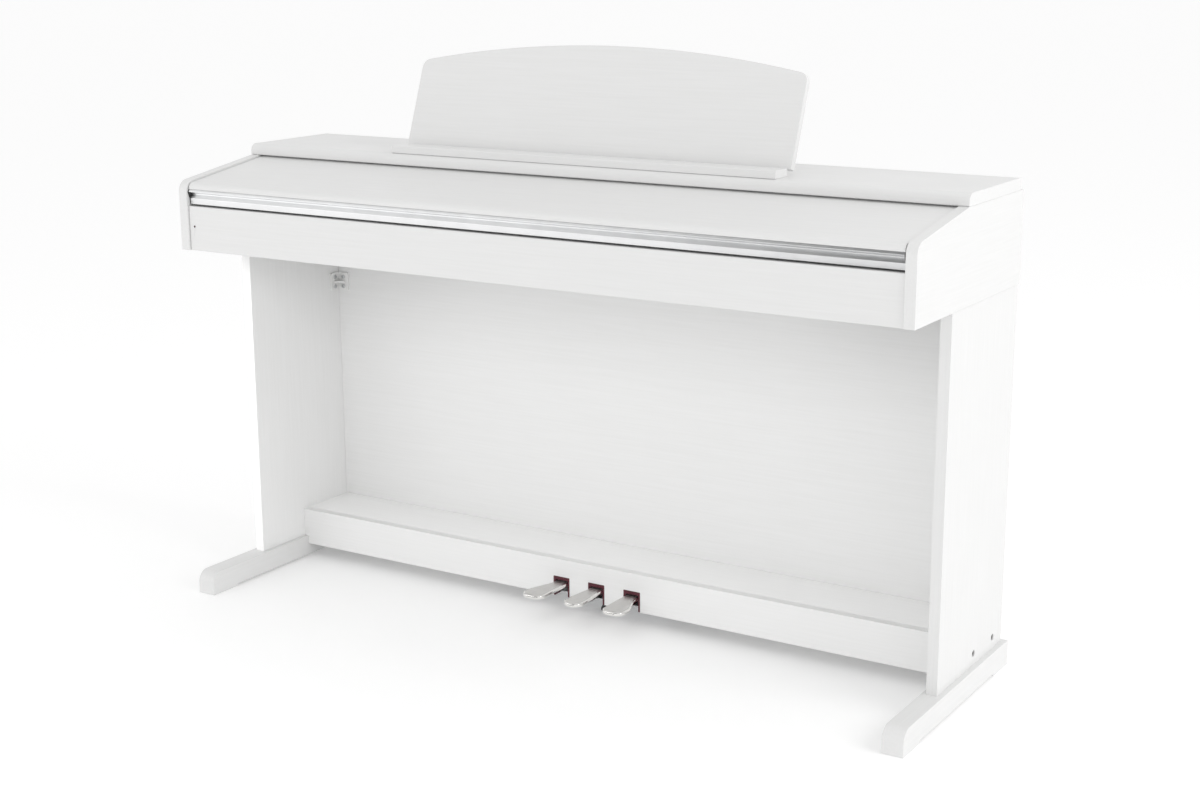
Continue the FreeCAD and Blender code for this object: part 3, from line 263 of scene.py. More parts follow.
# Each finish: its material, and the record's slot that it belongs to.
FINISHES = {
    "foil_x": (white_foil("white_foil_lengthwise", ALONG_X), "satin_white"),
    "foil_y": (white_foil("white_foil_front_to_back", ALONG_Y), "satin_white"),
    "foil_z": (white_foil("white_foil_upright", ALONG_Z), "satin_white"),
    "aluminium": (
        metal("anodised_aluminium", (0.84, 0.845, 0.85), (0.30, 0.38), ALONG_X, 0.000006),
        "grip_aluminium",
    ),
    "pedal_top": (
        metal("brushed_nickel", (0.70, 0.69, 0.675), (0.36, 0.50), ALONG_Y, 0.00003),
        "pedal_steel",
    ),
    "pedal_rim": (
        metal("polished_nickel", (0.86, 0.85, 0.83), (0.07, 0.13), ANY, 0.000004, 300),
        "pedal_steel",
    ),
    "zinc": (metal("zinc_plated_steel", (0.62, 0.63, 0.64), (0.30, 0.46), ANY), "zinc_steel"),
    "bright_wire": (metal("bright_wire", (0.76, 0.76, 0.77), (0.12, 0.2), ANY), "prop_wire"),
    "dark_screw": (metal("black_zinc", (0.05, 0.05, 0.052), (0.30, 0.42), ANY), "dark_screw"),
    "white_plastic": (
        plastic("white_moulded_plastic", (0.82, 0.82, 0.81), (0.36, 0.46), 0.00003),
        "white_plastic",
    ),
    "ivory": (
        plastic("white_key_plastic", (0.86, 0.855, 0.83), (0.12, 0.18), 0.000003, {"Coat Weight": 0.4}),
        "ivory_plastic",
    ),
    "ebony": (plastic("black_key_plastic", (0.016, 0.016, 0.017), (0.30, 0.40), 0.00002), "ebony_plastic"),
    "black_plastic": (
        plastic("black_moulded_plastic", (0.022, 0.022, 0.023), (0.40, 0.52), 0.00005),
        "black_plastic",
    ),
    "black_metal": (
        plastic("black_powder_coat", (0.025, 0.025, 0.026), (0.48, 0.6), 0.00008),
        "black_metal",
    ),
    "circuit": (
        plastic("solder_mask", (0.02, 0.14, 0.05), (0.25, 0.4), 0.00003, {"Coat Weight": 0.3}),
        "circuit_green",
    ),
    "nylon": (plastic("natural_nylon", (0.80, 0.79, 0.74), (0.40, 0.5), 0.00002), "nylon"),
    "lens": (
        plastic("dark_red_lens", (0.10, 0.012, 0.012), (0.08, 0.14), 0.000002, {"Coat Weight": 0.8}),
        "lamp_lens",
    ),
    "red_felt": (felt("dark_red_felt", (0.035, 0.003, 0.008), (0.15, 0.010, 0.028)), "pedal_felt"),
    "key_felt": (felt("red_key_felt", (0.16, 0.010, 0.016), (0.36, 0.03, 0.04)), "key_felt"),
}


# ---------------------------------------------------------------------------
# Shapes: each is a list of points and a list of faces
# ---------------------------------------------------------------------------

ARC_STEP = math.radians(8)
AXES = {"YZ": (Y, Z, X), "XZ": (X, Z, Y), "XY": (X, Y, Z)}


def rounded(corners, radii, closed=True):
    """A line of corners, in two or three dimensions, with each turned into an arc of its radius."""
    points = []
    count = len(corners)
    for index, (corner, radius) in enumerate(zip(corners, radii)):
        here = Vector(corner)
        if radius == 0 or (not closed and index in (0, count - 1)):
            points.append(here)
            continue
        back = (Vector(corners[index - 1]) - here).normalized()
        ahead = (Vector(corners[(index + 1) % count]) - here).normalized()
        half = back.angle(ahead) / 2
        centre = here + (back + ahead).normalized() * (radius / math.sin(half))
        start = here + back * (radius / math.tan(half)) - centre
        end = here + ahead * (radius / math.tan(half)) - centre
        turn = start.angle(end)
        side = (end - start * math.cos(turn)).normalized() * radius
        steps = max(2, math.ceil(turn / ARC_STEP))
        for step in range(steps + 1):
            angle = turn * step / steps
            points.append(centre + start * math.cos(angle) + side * math.sin(angle))
    return points


def rectangle(u_low, u_high, v_low, v_high, radius=0):
    corners = [(u_low, v_low), (u_high, v_low), (u_high, v_high), (u_low, v_high)]
    return rounded(corners, [radius] * 4)


def circle(u, v, radius, steps=32):
    turns = [FULL_TURN * step / steps for step in range(steps)]
    return [Vector((u + radius * math.cos(turn), v + radius * math.sin(turn))) for turn in turns]


def inset(outline, amount):
    """An anticlockwise outline drawn inwards by an amount."""
    count = len(outline)
    points = []
    for index, here in enumerate(outline):
        into = (here - outline[index - 1]).normalized()
        out = (outline[(index + 1) % count] - here).normalized()
        inward = Vector((-into.y - out.y, into.x + out.x)).normalized()
        points.append(here + inward * amount / max(0.4, inward.dot(Vector((-out.y, out.x)))))
    return points


def loft(rings, closed=False):
    """A skin through rings of equally many points, capped at both ends or closed on itself."""
    count = len(rings[0])
    points = [Vector(point) for ring in rings for point in ring]
    faces = []
    if not closed:
        last = (len(rings) - 1) * count
        faces = [list(range(count)), list(range(last, last + count))]
    for row in range(len(rings) if closed else len(rings) - 1):
        low, high = row * count, (row + 1) % len(rings) * count
        for index in range(count):
            other = (index + 1) % count
            faces.append([low + index, low + other, high + other, high + index])
    return points, faces


def stand_up(outline, plane, level):
    """The outline's points in space, on a plane at a level along the third axis."""
    u, v, w = AXES[plane]
    ring = []
    for point in outline:
        spot = [0, 0, 0]
        spot[u], spot[v], spot[w] = point[0], point[1], level
        ring.append(Vector(spot))
    return ring


def prism(outline, plane, low, high):
    return loft([stand_up(outline, plane, low), stand_up(outline, plane, high)])


def towards(axis, centre=(0, 0, 0)):
    """A matrix that stands a shape drawn along Z at a centre, along an axis."""
    turn = Vector((0, 0, 1)).rotation_difference(Vector(axis)).to_matrix().to_4x4()
    return Matrix.Translation(centre) @ turn


def moved(shape, matrix):
    return [matrix @ point for point in shape[0]], shape[1]


def mirrored(shape):
    return moved(shape, Matrix.Scale(-1, 4, (1, 0, 0)))


def joined(*shapes):
    points, faces = [], []
    for more_points, more_faces in shapes:
        start = len(points)
        points += more_points
        faces += [[start + index for index in face] for face in more_faces]
    return points, faces


def lathe(profile, centre=(0, 0, 0), axis=(0, 0, 1), steps=48, flutes=0, closed=False):
    """Turn (radius, distance) points round an axis. A third number is the depth of flutes there."""
    place = towards(axis, centre)
    rings = []
    for radius, distance, *depth in profile:
        ring = []
        for step in range(steps):
            angle = FULL_TURN * step / steps
            reach = radius - (depth[0] * (1 - math.cos(flutes * angle)) / 2 if depth else 0)
            ring.append(place @ Vector((reach * math.cos(angle), reach * math.sin(angle), distance)))
        rings.append(ring)
    return loft(rings, closed)


def tube(path, radius, steps=16):
    """A round bar along a path."""
    rings = []
    side = None
    for index, point in enumerate(path):
        direction = (path[min(index + 1, len(path) - 1)] - path[max(index - 1, 0)]).normalized()
        side = side or direction.orthogonal()
        side = (side - direction * side.dot(direction)).normalized()
        other = direction.cross(side)
        turns = [FULL_TURN * step / steps for step in range(steps)]
        rings.append([point + (side * math.cos(turn) + other * math.sin(turn)) * radius for turn in turns])
    return loft(rings)


def as_mesh(name, shape):
    """A mesh with doubled points merged and its faces turned outwards."""
    mesh = bpy.data.meshes.new(name)
    mesh.from_pydata([tuple(point) for point in shape[0]], [], [list(face) for face in shape[1]])
    work = bmesh.new()
    work.from_mesh(mesh)
    bmesh.ops.remove_doubles(work, verts=work.verts, dist=1e-6)
    bmesh.ops.recalc_face_normals(work, faces=work.faces)
    work.to_mesh(mesh)
    work.free()
    return mesh


def carved(shape, tool):
    """The shape with the tool cut out of it."""
    pair = []
    for name, part in (("carve_base", shape), ("carve_tool", tool)):
        item = bpy.data.objects.new(name, as_mesh(name, part))
        bpy.context.scene.collection.objects.link(item)
        pair.append(item)
    cut = pair[0].modifiers.new("cut", "BOOLEAN")
    cut.object = pair[1]
    cut.operation = "DIFFERENCE"
    cut.solver = "EXACT"
    result = pair[0].evaluated_get(bpy.context.evaluated_depsgraph_get()).data
    points = [vertex.co.copy() for vertex in result.vertices]
    faces = [list(polygon.vertices) for polygon in result.polygons]
    for item in pair:
        bpy.data.objects.remove(item)
    return points, faces


# ---------------------------------------------------------------------------
# Pieces
# ---------------------------------------------------------------------------

SHARP = math.radians(32)


def add_edge_rounding(item, radius, segments=3):
    """Round every sharp edge, with flat faces kept flat in the shading."""
    bevel = item.modifiers.new("arris", "BEVEL")
    bevel.width = radius
    bevel.segments = segments
    bevel.limit_method = "ANGLE"
    bevel.angle_limit = SHARP
    bevel.miter_outer = "MITER_ARC"
    normals = item.modifiers.new("flat_faces", "WEIGHTED_NORMAL")
    normals.keep_sharp = False


def shade_smooth(mesh):
    mesh.polygons.foreach_set("use_smooth", [True] * len(mesh.polygons))


def piece(name, shape, finish, body, arris=0.0, replaces=()):
    """A new piece in a finish, which moves with a body and may stand for CAD nodes."""
    material, slot = FINISHES[finish]
    mesh = as_mesh(name, shape)
    mesh.materials.append(material)
    shade_smooth(mesh)
    item = bpy.data.objects.new(name, mesh)
    bpy.context.scene.collection.objects.link(item)
    if arris:
        add_edge_rounding(item, arris)
    else:
        mesh.set_sharp_from_angle(angle=SHARP)
    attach(item, body)
    if replaces:
        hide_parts(*replaces)
    return item


def keep(node, finish, arris):
    """Show a CAD node as it is, with its material and finely rounded edges."""
    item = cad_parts[node]
    item.data.materials.clear()
    item.data.materials.append(FINISHES[finish][0])
    shade_smooth(item.data)
    weld = item.modifiers.new("weld", "WELD")
    weld.merge_threshold = 1e-5
    add_edge_rounding(item, arris, 2)


def paint(item, finish, chosen):
    """Give a second finish to the faces that are chosen by centre and normal."""
    item.data.materials.append(FINISHES[finish][0])
    for polygon in item.data.polygons:
        if chosen(polygon.center, polygon.normal):
            polygon.material_index = len(item.data.materials) - 1


# ---------------------------------------------------------------------------
# Body boards
# ---------------------------------------------------------------------------

ARRIS = 0.8 * MM


def make_cheeks():
    """End boards with a rounded nose and a slope up to the top board."""
    top_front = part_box("top_board")[0].y
    nose, nose_radius = 770 * MM, 20 * MM
    for name in ("left_cheek", "right_cheek"):
        low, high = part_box(name)
        corners = [(low.y, low.z), (high.y, low.z), (high.y, high.z), (top_front, high.z), (low.y, nose)]
        outline = rounded(corners, (0, 0, 0, 0, nose_radius))
        board = prism(outline, "YZ", low.x, high.x)
        piece(name + "_board", board, "foil_y", "piano", ARRIS, (name,))


def make_top_board():
    """Top board with a broad round along its front edge."""
    low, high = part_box("top_board")
    corners = [(low.y, low.z), (high.y, low.z), (high.y, high.z), (low.y, high.z)]
    outline = rounded(corners, (3 * MM, 0, 3 * MM, 13 * MM))
    piece("top_board_piece", prism(outline, "YZ", low.x, high.x), "foil_x", "piano", ARRIS, ("top_board",))


def make_pilot_lamp():
    """A domed lens just proud of the front rail, in a thin collar."""
    low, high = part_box("pilot_lamp")
    centre = ((low.x + high.x) / 2, low.y + 0.5 * MM, (low.z + high.z) / 2)
    lens = [(0, -8), (1.1, -8), (1.25, -0.3), (1.1, 0.15), (0.6, 0.4), (0, 0.5)]
    collar = [(1.3, -6), (1.55, -6), (1.75, 0), (1.6, 0.3), (1.35, 0.3), (1.25, 0)]
    for name, profile, finish, closed in (
        ("pilot_lamp_lens", lens, "lens", False),
        ("pilot_lamp_collar", collar, "black_plastic", True),
    ):
        scaled = [(radius * MM, distance * MM) for radius, distance in profile]
        item = piece(name, lathe(scaled, centre, (0, -1, 0), 24, closed=closed), finish, "piano")
        if finish == "lens":
            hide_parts("pilot_lamp")


def make_speaker_grilles():
    """Discs of punched steel sheet: a web of six-sided cells with round holes, inside a rim."""
    low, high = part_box("speaker_grilles")
    radius = (high.y - low.y) / 2
    middle = (low.y + high.y) / 2
    pitch, hole = 7.0 * MM, 2.2 * MM
    rim = [(radius - 6 * MM, -0.1 * MM), (radius, -0.1 * MM), (radius, 2 * MM), (radius - 6 * MM, 2 * MM)]
    web_low, web_high = 0.2 * MM, 1.6 * MM
    turns = [FULL_TURN * step / 12 for step in range(12)]
    cells = []
    span = range(-10, 11)
    for row in span:
        for column in span:
            x = (column + (row % 2) / 2) * pitch
            y = row * pitch * math.sqrt(3) / 2
            if math.hypot(x, y) > radius - 5 * MM:
                continue
            edge = []
            for index, turn in enumerate(turns):
                reach = pitch / math.sqrt(3) if index % 2 else pitch / 2
                edge.append((x + reach * math.sin(turn), y + reach * math.cos(turn)))
            bore = [(x + hole * math.sin(turn), y + hole * math.cos(turn)) for turn in turns]
            rings = [(edge, web_low), (edge, web_high), (bore, web_high), (bore, web_low)]
            cells.append(loft([stand_up(ring, "XY", level) for ring, level in rings], closed=True))
    disc = joined(lathe(rim, steps=72, closed=True), *cells)
    for side, name in zip(SIDES, ("left", "right")):
        centre = (side * (high.x - radius), middle, low.z)
        grille = moved(disc, Matrix.Translation(centre))
        item = piece(name + "_speaker_grille", grille, "black_metal", "piano")
        if side > 0:
            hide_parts("speaker_grilles")


def pan_head(radius, height):
    """A domed screw head with a cross recess, drawn along Z from its seat."""
    dome = [(0, 0), (radius, 0), (radius, 0.35 * height), (0.88 * radius, 0.72 * height),
            (0.55 * radius, 0.95 * height), (0, height)]
    arm, reach, floor = 0.13 * radius, 0.55 * radius, 0.35 * height
    bars = [rectangle(-reach, reach, -arm, arm), rectangle(-arm, arm, -reach, reach)]
    head = lathe(dome, steps=32)
    for bar in bars:
        head = carved(head, prism(bar, "XY", floor, 2 * height))
    return head


def socket_head(radius, height):
    """A cylindrical bolt head with a six-sided socket, drawn along Z from its seat."""
    edge = 0.1 * radius
    side = [(0, 0), (radius, 0), (radius, height - edge), (radius - edge, height), (0, height)]
    socket = circle(0, 0, 0.55 * radius, 6)
    return carved(lathe(side, steps=36), prism(socket, "XY", 0.3 * height, 2 * height))


JACKS = (395 * MM, 420 * MM)
PEDAL_SOCKET = 450 * MM
INLET = 493.5 * MM


def make_connectors():
    """Trim on the rear socket plate: jack nuts, a ring, the mains inlet's frame and pins, screws."""
    low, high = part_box("connector_panel")
    face = high.y
    middle = (low.z + high.z) / 2
    nuts = []
    for x in JACKS:
        nut = [(3.3, 0), (6, 0), (6, 1.6), (5, 2.4), (3.3, 2.4)]
        profile = [(radius * MM, distance * MM) for radius, distance in nut]
        nuts.append(lathe(profile, (x, face, middle), (0, 1, 0), 6, closed=True))
    piece("jack_nuts", joined(*nuts), "zinc", "piano", 0.3 * MM)
    ring = [(6 * MM, -3 * MM), (8.5 * MM, -3 * MM), (8.5 * MM, 1.2 * MM), (6 * MM, 1.2 * MM)]
    socket = lathe(ring, (PEDAL_SOCKET, face, middle), (0, 1, 0), 40, closed=True)
    core = lathe([(0, -8 * MM), (5.9 * MM, -8 * MM), (5.9 * MM, -4 * MM), (0, -4 * MM)],
                 (PEDAL_SOCKET, face, middle), (0, 1, 0), 32)
    outer, inner = [
        rectangle(INLET - wide, INLET + wide, middle - high_half, middle + high_half, 3 * MM)
        for wide, high_half in ((17.5 * MM, 13 * MM), (13.5 * MM, 9 * MM))
    ]
    floor = face - 17 * MM
    rings = [(inner, -18 * MM), (outer, -0.5 * MM), (outer, 1.6 * MM), (inner, 1.6 * MM)]
    inlet = loft([stand_up(line, "XZ", face + level) for line, level in rings], closed=True)
    well = prism(inner, "XZ", face - 18 * MM, floor)
    piece("socket_mouldings", joined(socket, core, inlet, well), "black_plastic", "piano", 0.3 * MM)
    pins = []
    half_wide, half_high = 1 * MM, 2.5 * MM
    for along, up in ((-7, -2), (7, -2), (0, 3)):
        x, z = INLET + along * MM, middle + up * MM
        outline = rectangle(x - half_wide, x + half_wide, z - half_high, z + half_high)
        pins.append(prism(outline, "XZ", floor, face - 5 * MM))
    piece("inlet_pins", joined(*pins), "zinc", "piano", 0.3 * MM)
    head = pan_head(3.5 * MM, 2 * MM)
    margin = 7 * MM
    spots = [(x, z) for x in (low.x + margin, high.x - margin) for z in (low.z + margin, high.z - margin)]
    screws = [moved(head, towards((0, 1, 0), (x, face, z))) for x, z in spots]
    piece("connector_plate_screws", joined(*screws), "dark_screw", "piano")


# ---------------------------------------------------------------------------
# Keys and controls
# ---------------------------------------------------------------------------

PITCH = 23.5 * MM
SLOT = 13 * MM
STEM_LOW = (3 * PITCH - 2 * SLOT) / 3
STEM_HIGH = (4 * PITCH - 3 * SLOT) / 4
WHITE_CUTS = {
    "c": (0, PITCH - STEM_LOW),
    "d": (STEM_LOW + SLOT - PITCH, STEM_LOW + SLOT - PITCH),
    "e": (PITCH - STEM_LOW, 0),
    "f": (0, PITCH - STEM_HIGH),
    "g": (STEM_HIGH + SLOT - PITCH, 2 * PITCH - 2 * STEM_HIGH - SLOT),
    "a": (2 * PITCH - 2 * STEM_HIGH - SLOT, STEM_HIGH + SLOT - PITCH),
    "b": (PITCH - STEM_HIGH, 0),
}
BLACK_NOTES = ("c_sharp", "d_sharp", "f_sharp", "g_sharp", "a_sharp")
OCTAVE = 7 * PITCH
HEAD_END = -151.5 * MM
KEY_GAP = 1 * MM
KEY_TAIL_TOP = 719 * MM
BLACK_BACK = -52 * MM
BLACK_FRONT_TOP = 724 * MM
BLACK_TAPER = 0.17


def octaves_in(low, high):
    """How many keys of one note lie in a box."""
    return round((high.x - low.x) / OCTAVE) + 1


def white_key_outline(low, high, cuts, margin):
    """The key seen from above: a wide head, and a stem cut back on each side that has a black key."""
    left_cut, right_cut = cuts
    tail = high.y - margin
    left, right = low.x + margin, low.x + PITCH - KEY_GAP - margin
    head_end = HEAD_END - margin
    corners = [(left, low.y + margin), (right, low.y + margin)]
    radii = [0.8 * MM, 0.8 * MM]
    if right_cut:
        corners += [(right, head_end), (right - right_cut, head_end)]
        radii += [0.8 * MM, 0.6 * MM]
    corners.append((right - right_cut, tail))
    corners.append((left + left_cut, tail))
    radii += [0, 0]
    if left_cut:
        corners += [(left + left_cut, head_end), (left, head_end)]
        radii += [0.6 * MM, 0.8 * MM]
    return rounded(corners, radii)


def make_white_keys(note):
    """A top with a small lip all round over a narrower body, for each octave's key of one note."""
    node = note + "_keys"
    low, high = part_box(node)
    lip = high.z - 4 * MM
    top = prism(white_key_outline(low, high, WHITE_CUTS[note], 0), "XY", lip, high.z)
    stem = prism(white_key_outline(low, high, WHITE_CUTS[note], 0.9 * MM), "XY", low.z, lip + 0.5 * MM)
    places = [Matrix.Translation((index * OCTAVE, 0, 0)) for index in range(octaves_in(low, high))]
    row = [moved(joined(top, stem), place) for place in places]
    piece(node + "_row", joined(*row), "ivory", node, 0.7 * MM, (node,))


def make_black_keys(note):
    """Keys that narrow towards a rounded top, with a sloping front and a low tail."""
    node = note + "_keys"
    low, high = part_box(node)
    count = octaves_in(low, high)
    corners = [
        (low.y, low.z), (high.y, low.z), (high.y, KEY_TAIL_TOP), (BLACK_BACK, KEY_TAIL_TOP),
        (BLACK_BACK, high.z), (low.y + 6 * MM, high.z), (low.y, BLACK_FRONT_TOP),
    ]
    outline = rounded(corners, (0, 0, 0, 0, 1 * MM, 5 * MM, 3 * MM))
    width = high.x - low.x - (count - 1) * OCTAVE
    points, faces = prism(outline, "YZ", -width / 2, width / 2)
    for point in points:
        point.x *= 1 - BLACK_TAPER * max(0, (point.z - KEY_TAIL_TOP) / (high.z - KEY_TAIL_TOP))
    row = []
    for index in range(count):
        place = Matrix.Translation((low.x + width / 2 + index * OCTAVE, 0, 0))
        row.append(moved((points, faces), place))
    piece(node + "_row", joined(*row), "ebony", node, 1.3 * MM, (node,))


def make_control_felt():
    """A red felt strip laid across the keys' tails, at the foot of the control panel."""
    panel_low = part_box("control_panel")[0]
    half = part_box("key_frame")[1].x
    front = panel_low.y - 3.2 * MM
    foot = panel_low.z
    outline = rectangle(front, panel_low.y - 0.2 * MM, foot + 0.5 * MM, foot + 4 * MM, 1 * MM)
    piece("key_slip_felt", prism(outline, "YZ", -half, half), "key_felt", "piano", 0.4 * MM)


def make_volume_knob():
    """A fluted cap with a shallow dished top and a white pointer line."""
    low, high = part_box("volume_knob")
    centre = ((low.x + high.x) / 2, (low.y + high.y) / 2, low.z)
    height = high.z - low.z
    radius = (high.x - low.x) / 2
    base = height - 7 * MM
    profile = [
        (0, 0), (4 * MM, 0), (4 * MM, base), (radius - 0.3 * MM, base),
        (radius, base + 0.6 * MM, 0.7 * MM), (radius, height - 1.4 * MM, 0.7 * MM),
        (radius - 0.5 * MM, height - 0.5 * MM, 0.3 * MM), (radius - 1.5 * MM, height, 0),
        (radius - 3 * MM, height - 0.1 * MM), (0, height - 0.5 * MM),
    ]
    knob = lathe(profile, centre, steps=144, flutes=36)
    piece("volume_knob_cap", knob, "black_plastic", "volume_knob", 0, ("volume_knob",))
    x, y, z = centre[0], centre[1], high.z
    line = rectangle(x - 0.6 * MM, x + 0.6 * MM, y - radius + 1 * MM, y - 1 * MM, 0.4 * MM)
    piece("volume_pointer", prism(line, "XY", z - 1 * MM, z + 0.05 * MM), "white_plastic", "volume_knob")


def make_power_button():
    """A round cap with a soft edge and a dished top."""
    low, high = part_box("power_button")
    radius, height = (high.x - low.x) / 2, high.z - low.z
    profile = [
        (0, 0), (radius, 0), (radius, height - 1 * MM), (radius - 0.3 * MM, height - 0.3 * MM),
        (radius - 1 * MM, height), (radius - 1.6 * MM, height - 0.1 * MM),
        (radius * 0.5, height - 0.6 * MM), (0, height - 0.8 * MM),
    ]
    centre = ((low.x + high.x) / 2, (low.y + high.y) / 2, low.z)
    cap = lathe(profile, centre, steps=56)
    piece("power_button_cap", cap, "black_plastic", "power_button", 0, ("power_button",))


def make_function_button(node):
    """A square cap with rounded corners and a shallow dished top."""
    low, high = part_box(node)
    x, y = (low.x + high.x) / 2, (low.y + high.y) / 2
    half = (high.x - low.x) / 2
    steps = (
        (half, low.z, 1.5), (half, high.z - 1 * MM, 1.5), (half - 0.3 * MM, high.z - 0.3 * MM, 1.4),
        (half - 1 * MM, high.z, 1.2), (half - 2.2 * MM, high.z - 0.3 * MM, 1),
        (half - 4 * MM, high.z - 0.5 * MM, 0.6),
    )
    rings = []
    for reach, level, radius in steps:
        outline = rectangle(x - reach, x + reach, y - reach, y + reach, radius * MM)
        rings.append(stand_up(outline, "XY", level))
    piece(node + "_cap", loft(rings), "black_plastic", node, 0, (node,))


# ---------------------------------------------------------------------------
# Key lid
# ---------------------------------------------------------------------------

LID_THICK = 11 * MM
LID_SLOPE = 29 / 192
LID_SIDE_GAP = 1 * MM
GROOVE_TOP, GROOVE_BACK_TOP, GROOVE_FOOT = 751.9 * MM, 749.9 * MM, 740.4 * MM
RAIL_BACK = 22 * MM


def make_lid_panel():
    """A slab that slopes up into its slot, with a soft round nose along the front."""
    low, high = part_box("lid_panel")

    def top(y):
        return high.z - (high.y - y) * LID_SLOPE

    corners = [
        (low.y, top(low.y) - LID_THICK), (high.y, top(high.y) - LID_THICK),
        (high.y, high.z), (low.y, top(low.y)),
    ]
    outline = rounded(corners, (1.5 * MM, 0, 0, 8.5 * MM))
    board = prism(outline, "YZ", low.x + LID_SIDE_GAP, high.x - LID_SIDE_GAP)
    piece("lid_panel_board", board, "foil_x", "key_lid", 0.6 * MM, ("lid_panel",))


def make_grip_rail():
    """An extruded rail with an undercut groove for the fingers, and a thin black piece at each end that
    fills the groove's mouth and makes the groove's ends and the gap beside the cheeks dark.
    """
    low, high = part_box("lid_grip_rail")
    front = low.y - 3 * MM
    under = high.z - 0.6 * MM
    corners = [
        (front + 5.6 * MM, under - 2 * MM), (front + 3 * MM, GROOVE_TOP),
        (front + 13.5 * MM, GROOVE_BACK_TOP), (front + 7.3 * MM, GROOVE_FOOT),
        (front + 8.3 * MM, 730 * MM), (front + RAIL_BACK, 732 * MM), (front + RAIL_BACK, under),
    ]
    radii = (0, 1.3 * MM, 2.5 * MM, 1.5 * MM, 1 * MM, 0, 0)
    end = high.x - 1.2 * MM
    rail = prism(rounded(corners, radii), "YZ", -end, end)
    piece("lid_grip_rail_bar", rail, "aluminium", "key_lid", 0, ("lid_grip_rail",))
    # Thin black pieces fill the groove's ends and reach into the gap by the cheeks, making both dark.
    solid = [corners[0], corners[1], corners[3], corners[4], corners[5], corners[6]]
    outline = rounded(solid, (0, 1.3 * MM, 1.8 * MM, 1 * MM, 0, 0))
    dark_ends = [prism(outline, "YZ", side * end, side * (high.x + 1 * MM)) for side in SIDES]
    piece("lid_grip_rail_dark_ends", joined(*dark_ends), "black_plastic", "key_lid")


# ---------------------------------------------------------------------------
# Music rest
# ---------------------------------------------------------------------------

DESK_THICK = 12 * MM
LEAN = math.radians(20.5)


def on_desk(foot):
    """A matrix for a shape drawn on the desk's axes: X, in through its thickness, up its face."""
    return Matrix.Translation(foot) @ Matrix.Rotation(-LEAN, 4, "X")


def make_desk():
    """A panel with straight sides and one broad arch for its top edge."""
    low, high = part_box("music_rest_desk")
    foot = (0, low.y, low.z + DESK_THICK * math.sin(LEAN))
    half, side, rise = high.x, 156 * MM, 192 * MM
    sag = rise - side
    radius = (half ** 2 + sag ** 2) / (2 * sag)
    corners = [(-half, 0), (half, 0), (half, side)]
    corner_radius = 16 * MM
    radii = [1 * MM, 1 * MM, corner_radius]
    reach = half - 14 * MM
    steps = 48
    for step in range(steps + 1):
        x = reach * (1 - 2 * step / steps)
        corners.append((x, rise - radius + math.sqrt(radius ** 2 - x ** 2)))
        radii.append(0)
    corners.append((-half, side))
    radii.append(corner_radius)
    board = prism(rounded(corners, radii), "XZ", 0, DESK_THICK)
    leaning = moved(board, on_desk(foot))
    piece("music_rest_board", leaning, "foil_x", "music_rest", 1 * MM, ("music_rest_desk",))


def make_ledge():
    """A bar with a rounded front edge that holds the music's foot."""
    low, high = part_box("music_rest_ledge")
    corners = [(low.y, low.z), (high.y, low.z), (high.y, high.z), (low.y, high.z)]
    outline = rounded(corners, (0, 0, 1 * MM, 2.5 * MM))
    ledge = prism(outline, "YZ", low.x, high.x)
    piece("music_rest_ledge_bar", ledge, "foil_x", "piano", 0.7 * MM, ("music_rest_ledge",))


def make_prop():
    """One bent wire: a stub in each clip, two legs and a crossbar, with real bends."""
    low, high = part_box("music_rest_prop")
    radius, leg, bend = 2 * MM, 48 * MM, 5 * MM
    start_y, start_z = low.y + radius, high.z - radius
    foot_y, foot_z = high.y - radius, low.z + radius
    corners = [
        (low.x, start_y, start_z), (-leg, start_y, start_z), (-leg, foot_y, foot_z),
        (leg, foot_y, foot_z), (leg, start_y, start_z), (high.x, start_y, start_z),
    ]
    path = rounded(corners, (0, bend, bend, bend, bend, 0), closed=False)
    piece("music_rest_wire", tube(path, radius), "bright_wire", "rest_prop", 0, ("music_rest_prop",))


# ---------------------------------------------------------------------------
# Stand
# ---------------------------------------------------------------------------

def make_feet():
    """Bars with a rounded front end, hollowed underneath between their floor pads."""
    pad, hollow = 65 * MM, 4 * MM
    for name in ("left_foot", "right_foot"):
        low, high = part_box(name)
        corners = [
            (low.y, low.z), (low.y + pad, low.z), (low.y + pad, hollow), (high.y - pad, hollow),
            (high.y - pad, low.z), (high.y, low.z), (high.y, high.z), (low.y, high.z),
        ]
        outline = rounded(corners, (1.5 * MM, 0, 0, 0, 0, 0, 2 * MM, 22 * MM))
        piece(name + "_bar", prism(outline, "YZ", low.x, high.x), "foil_y", "piano", 1.2 * MM, (name,))


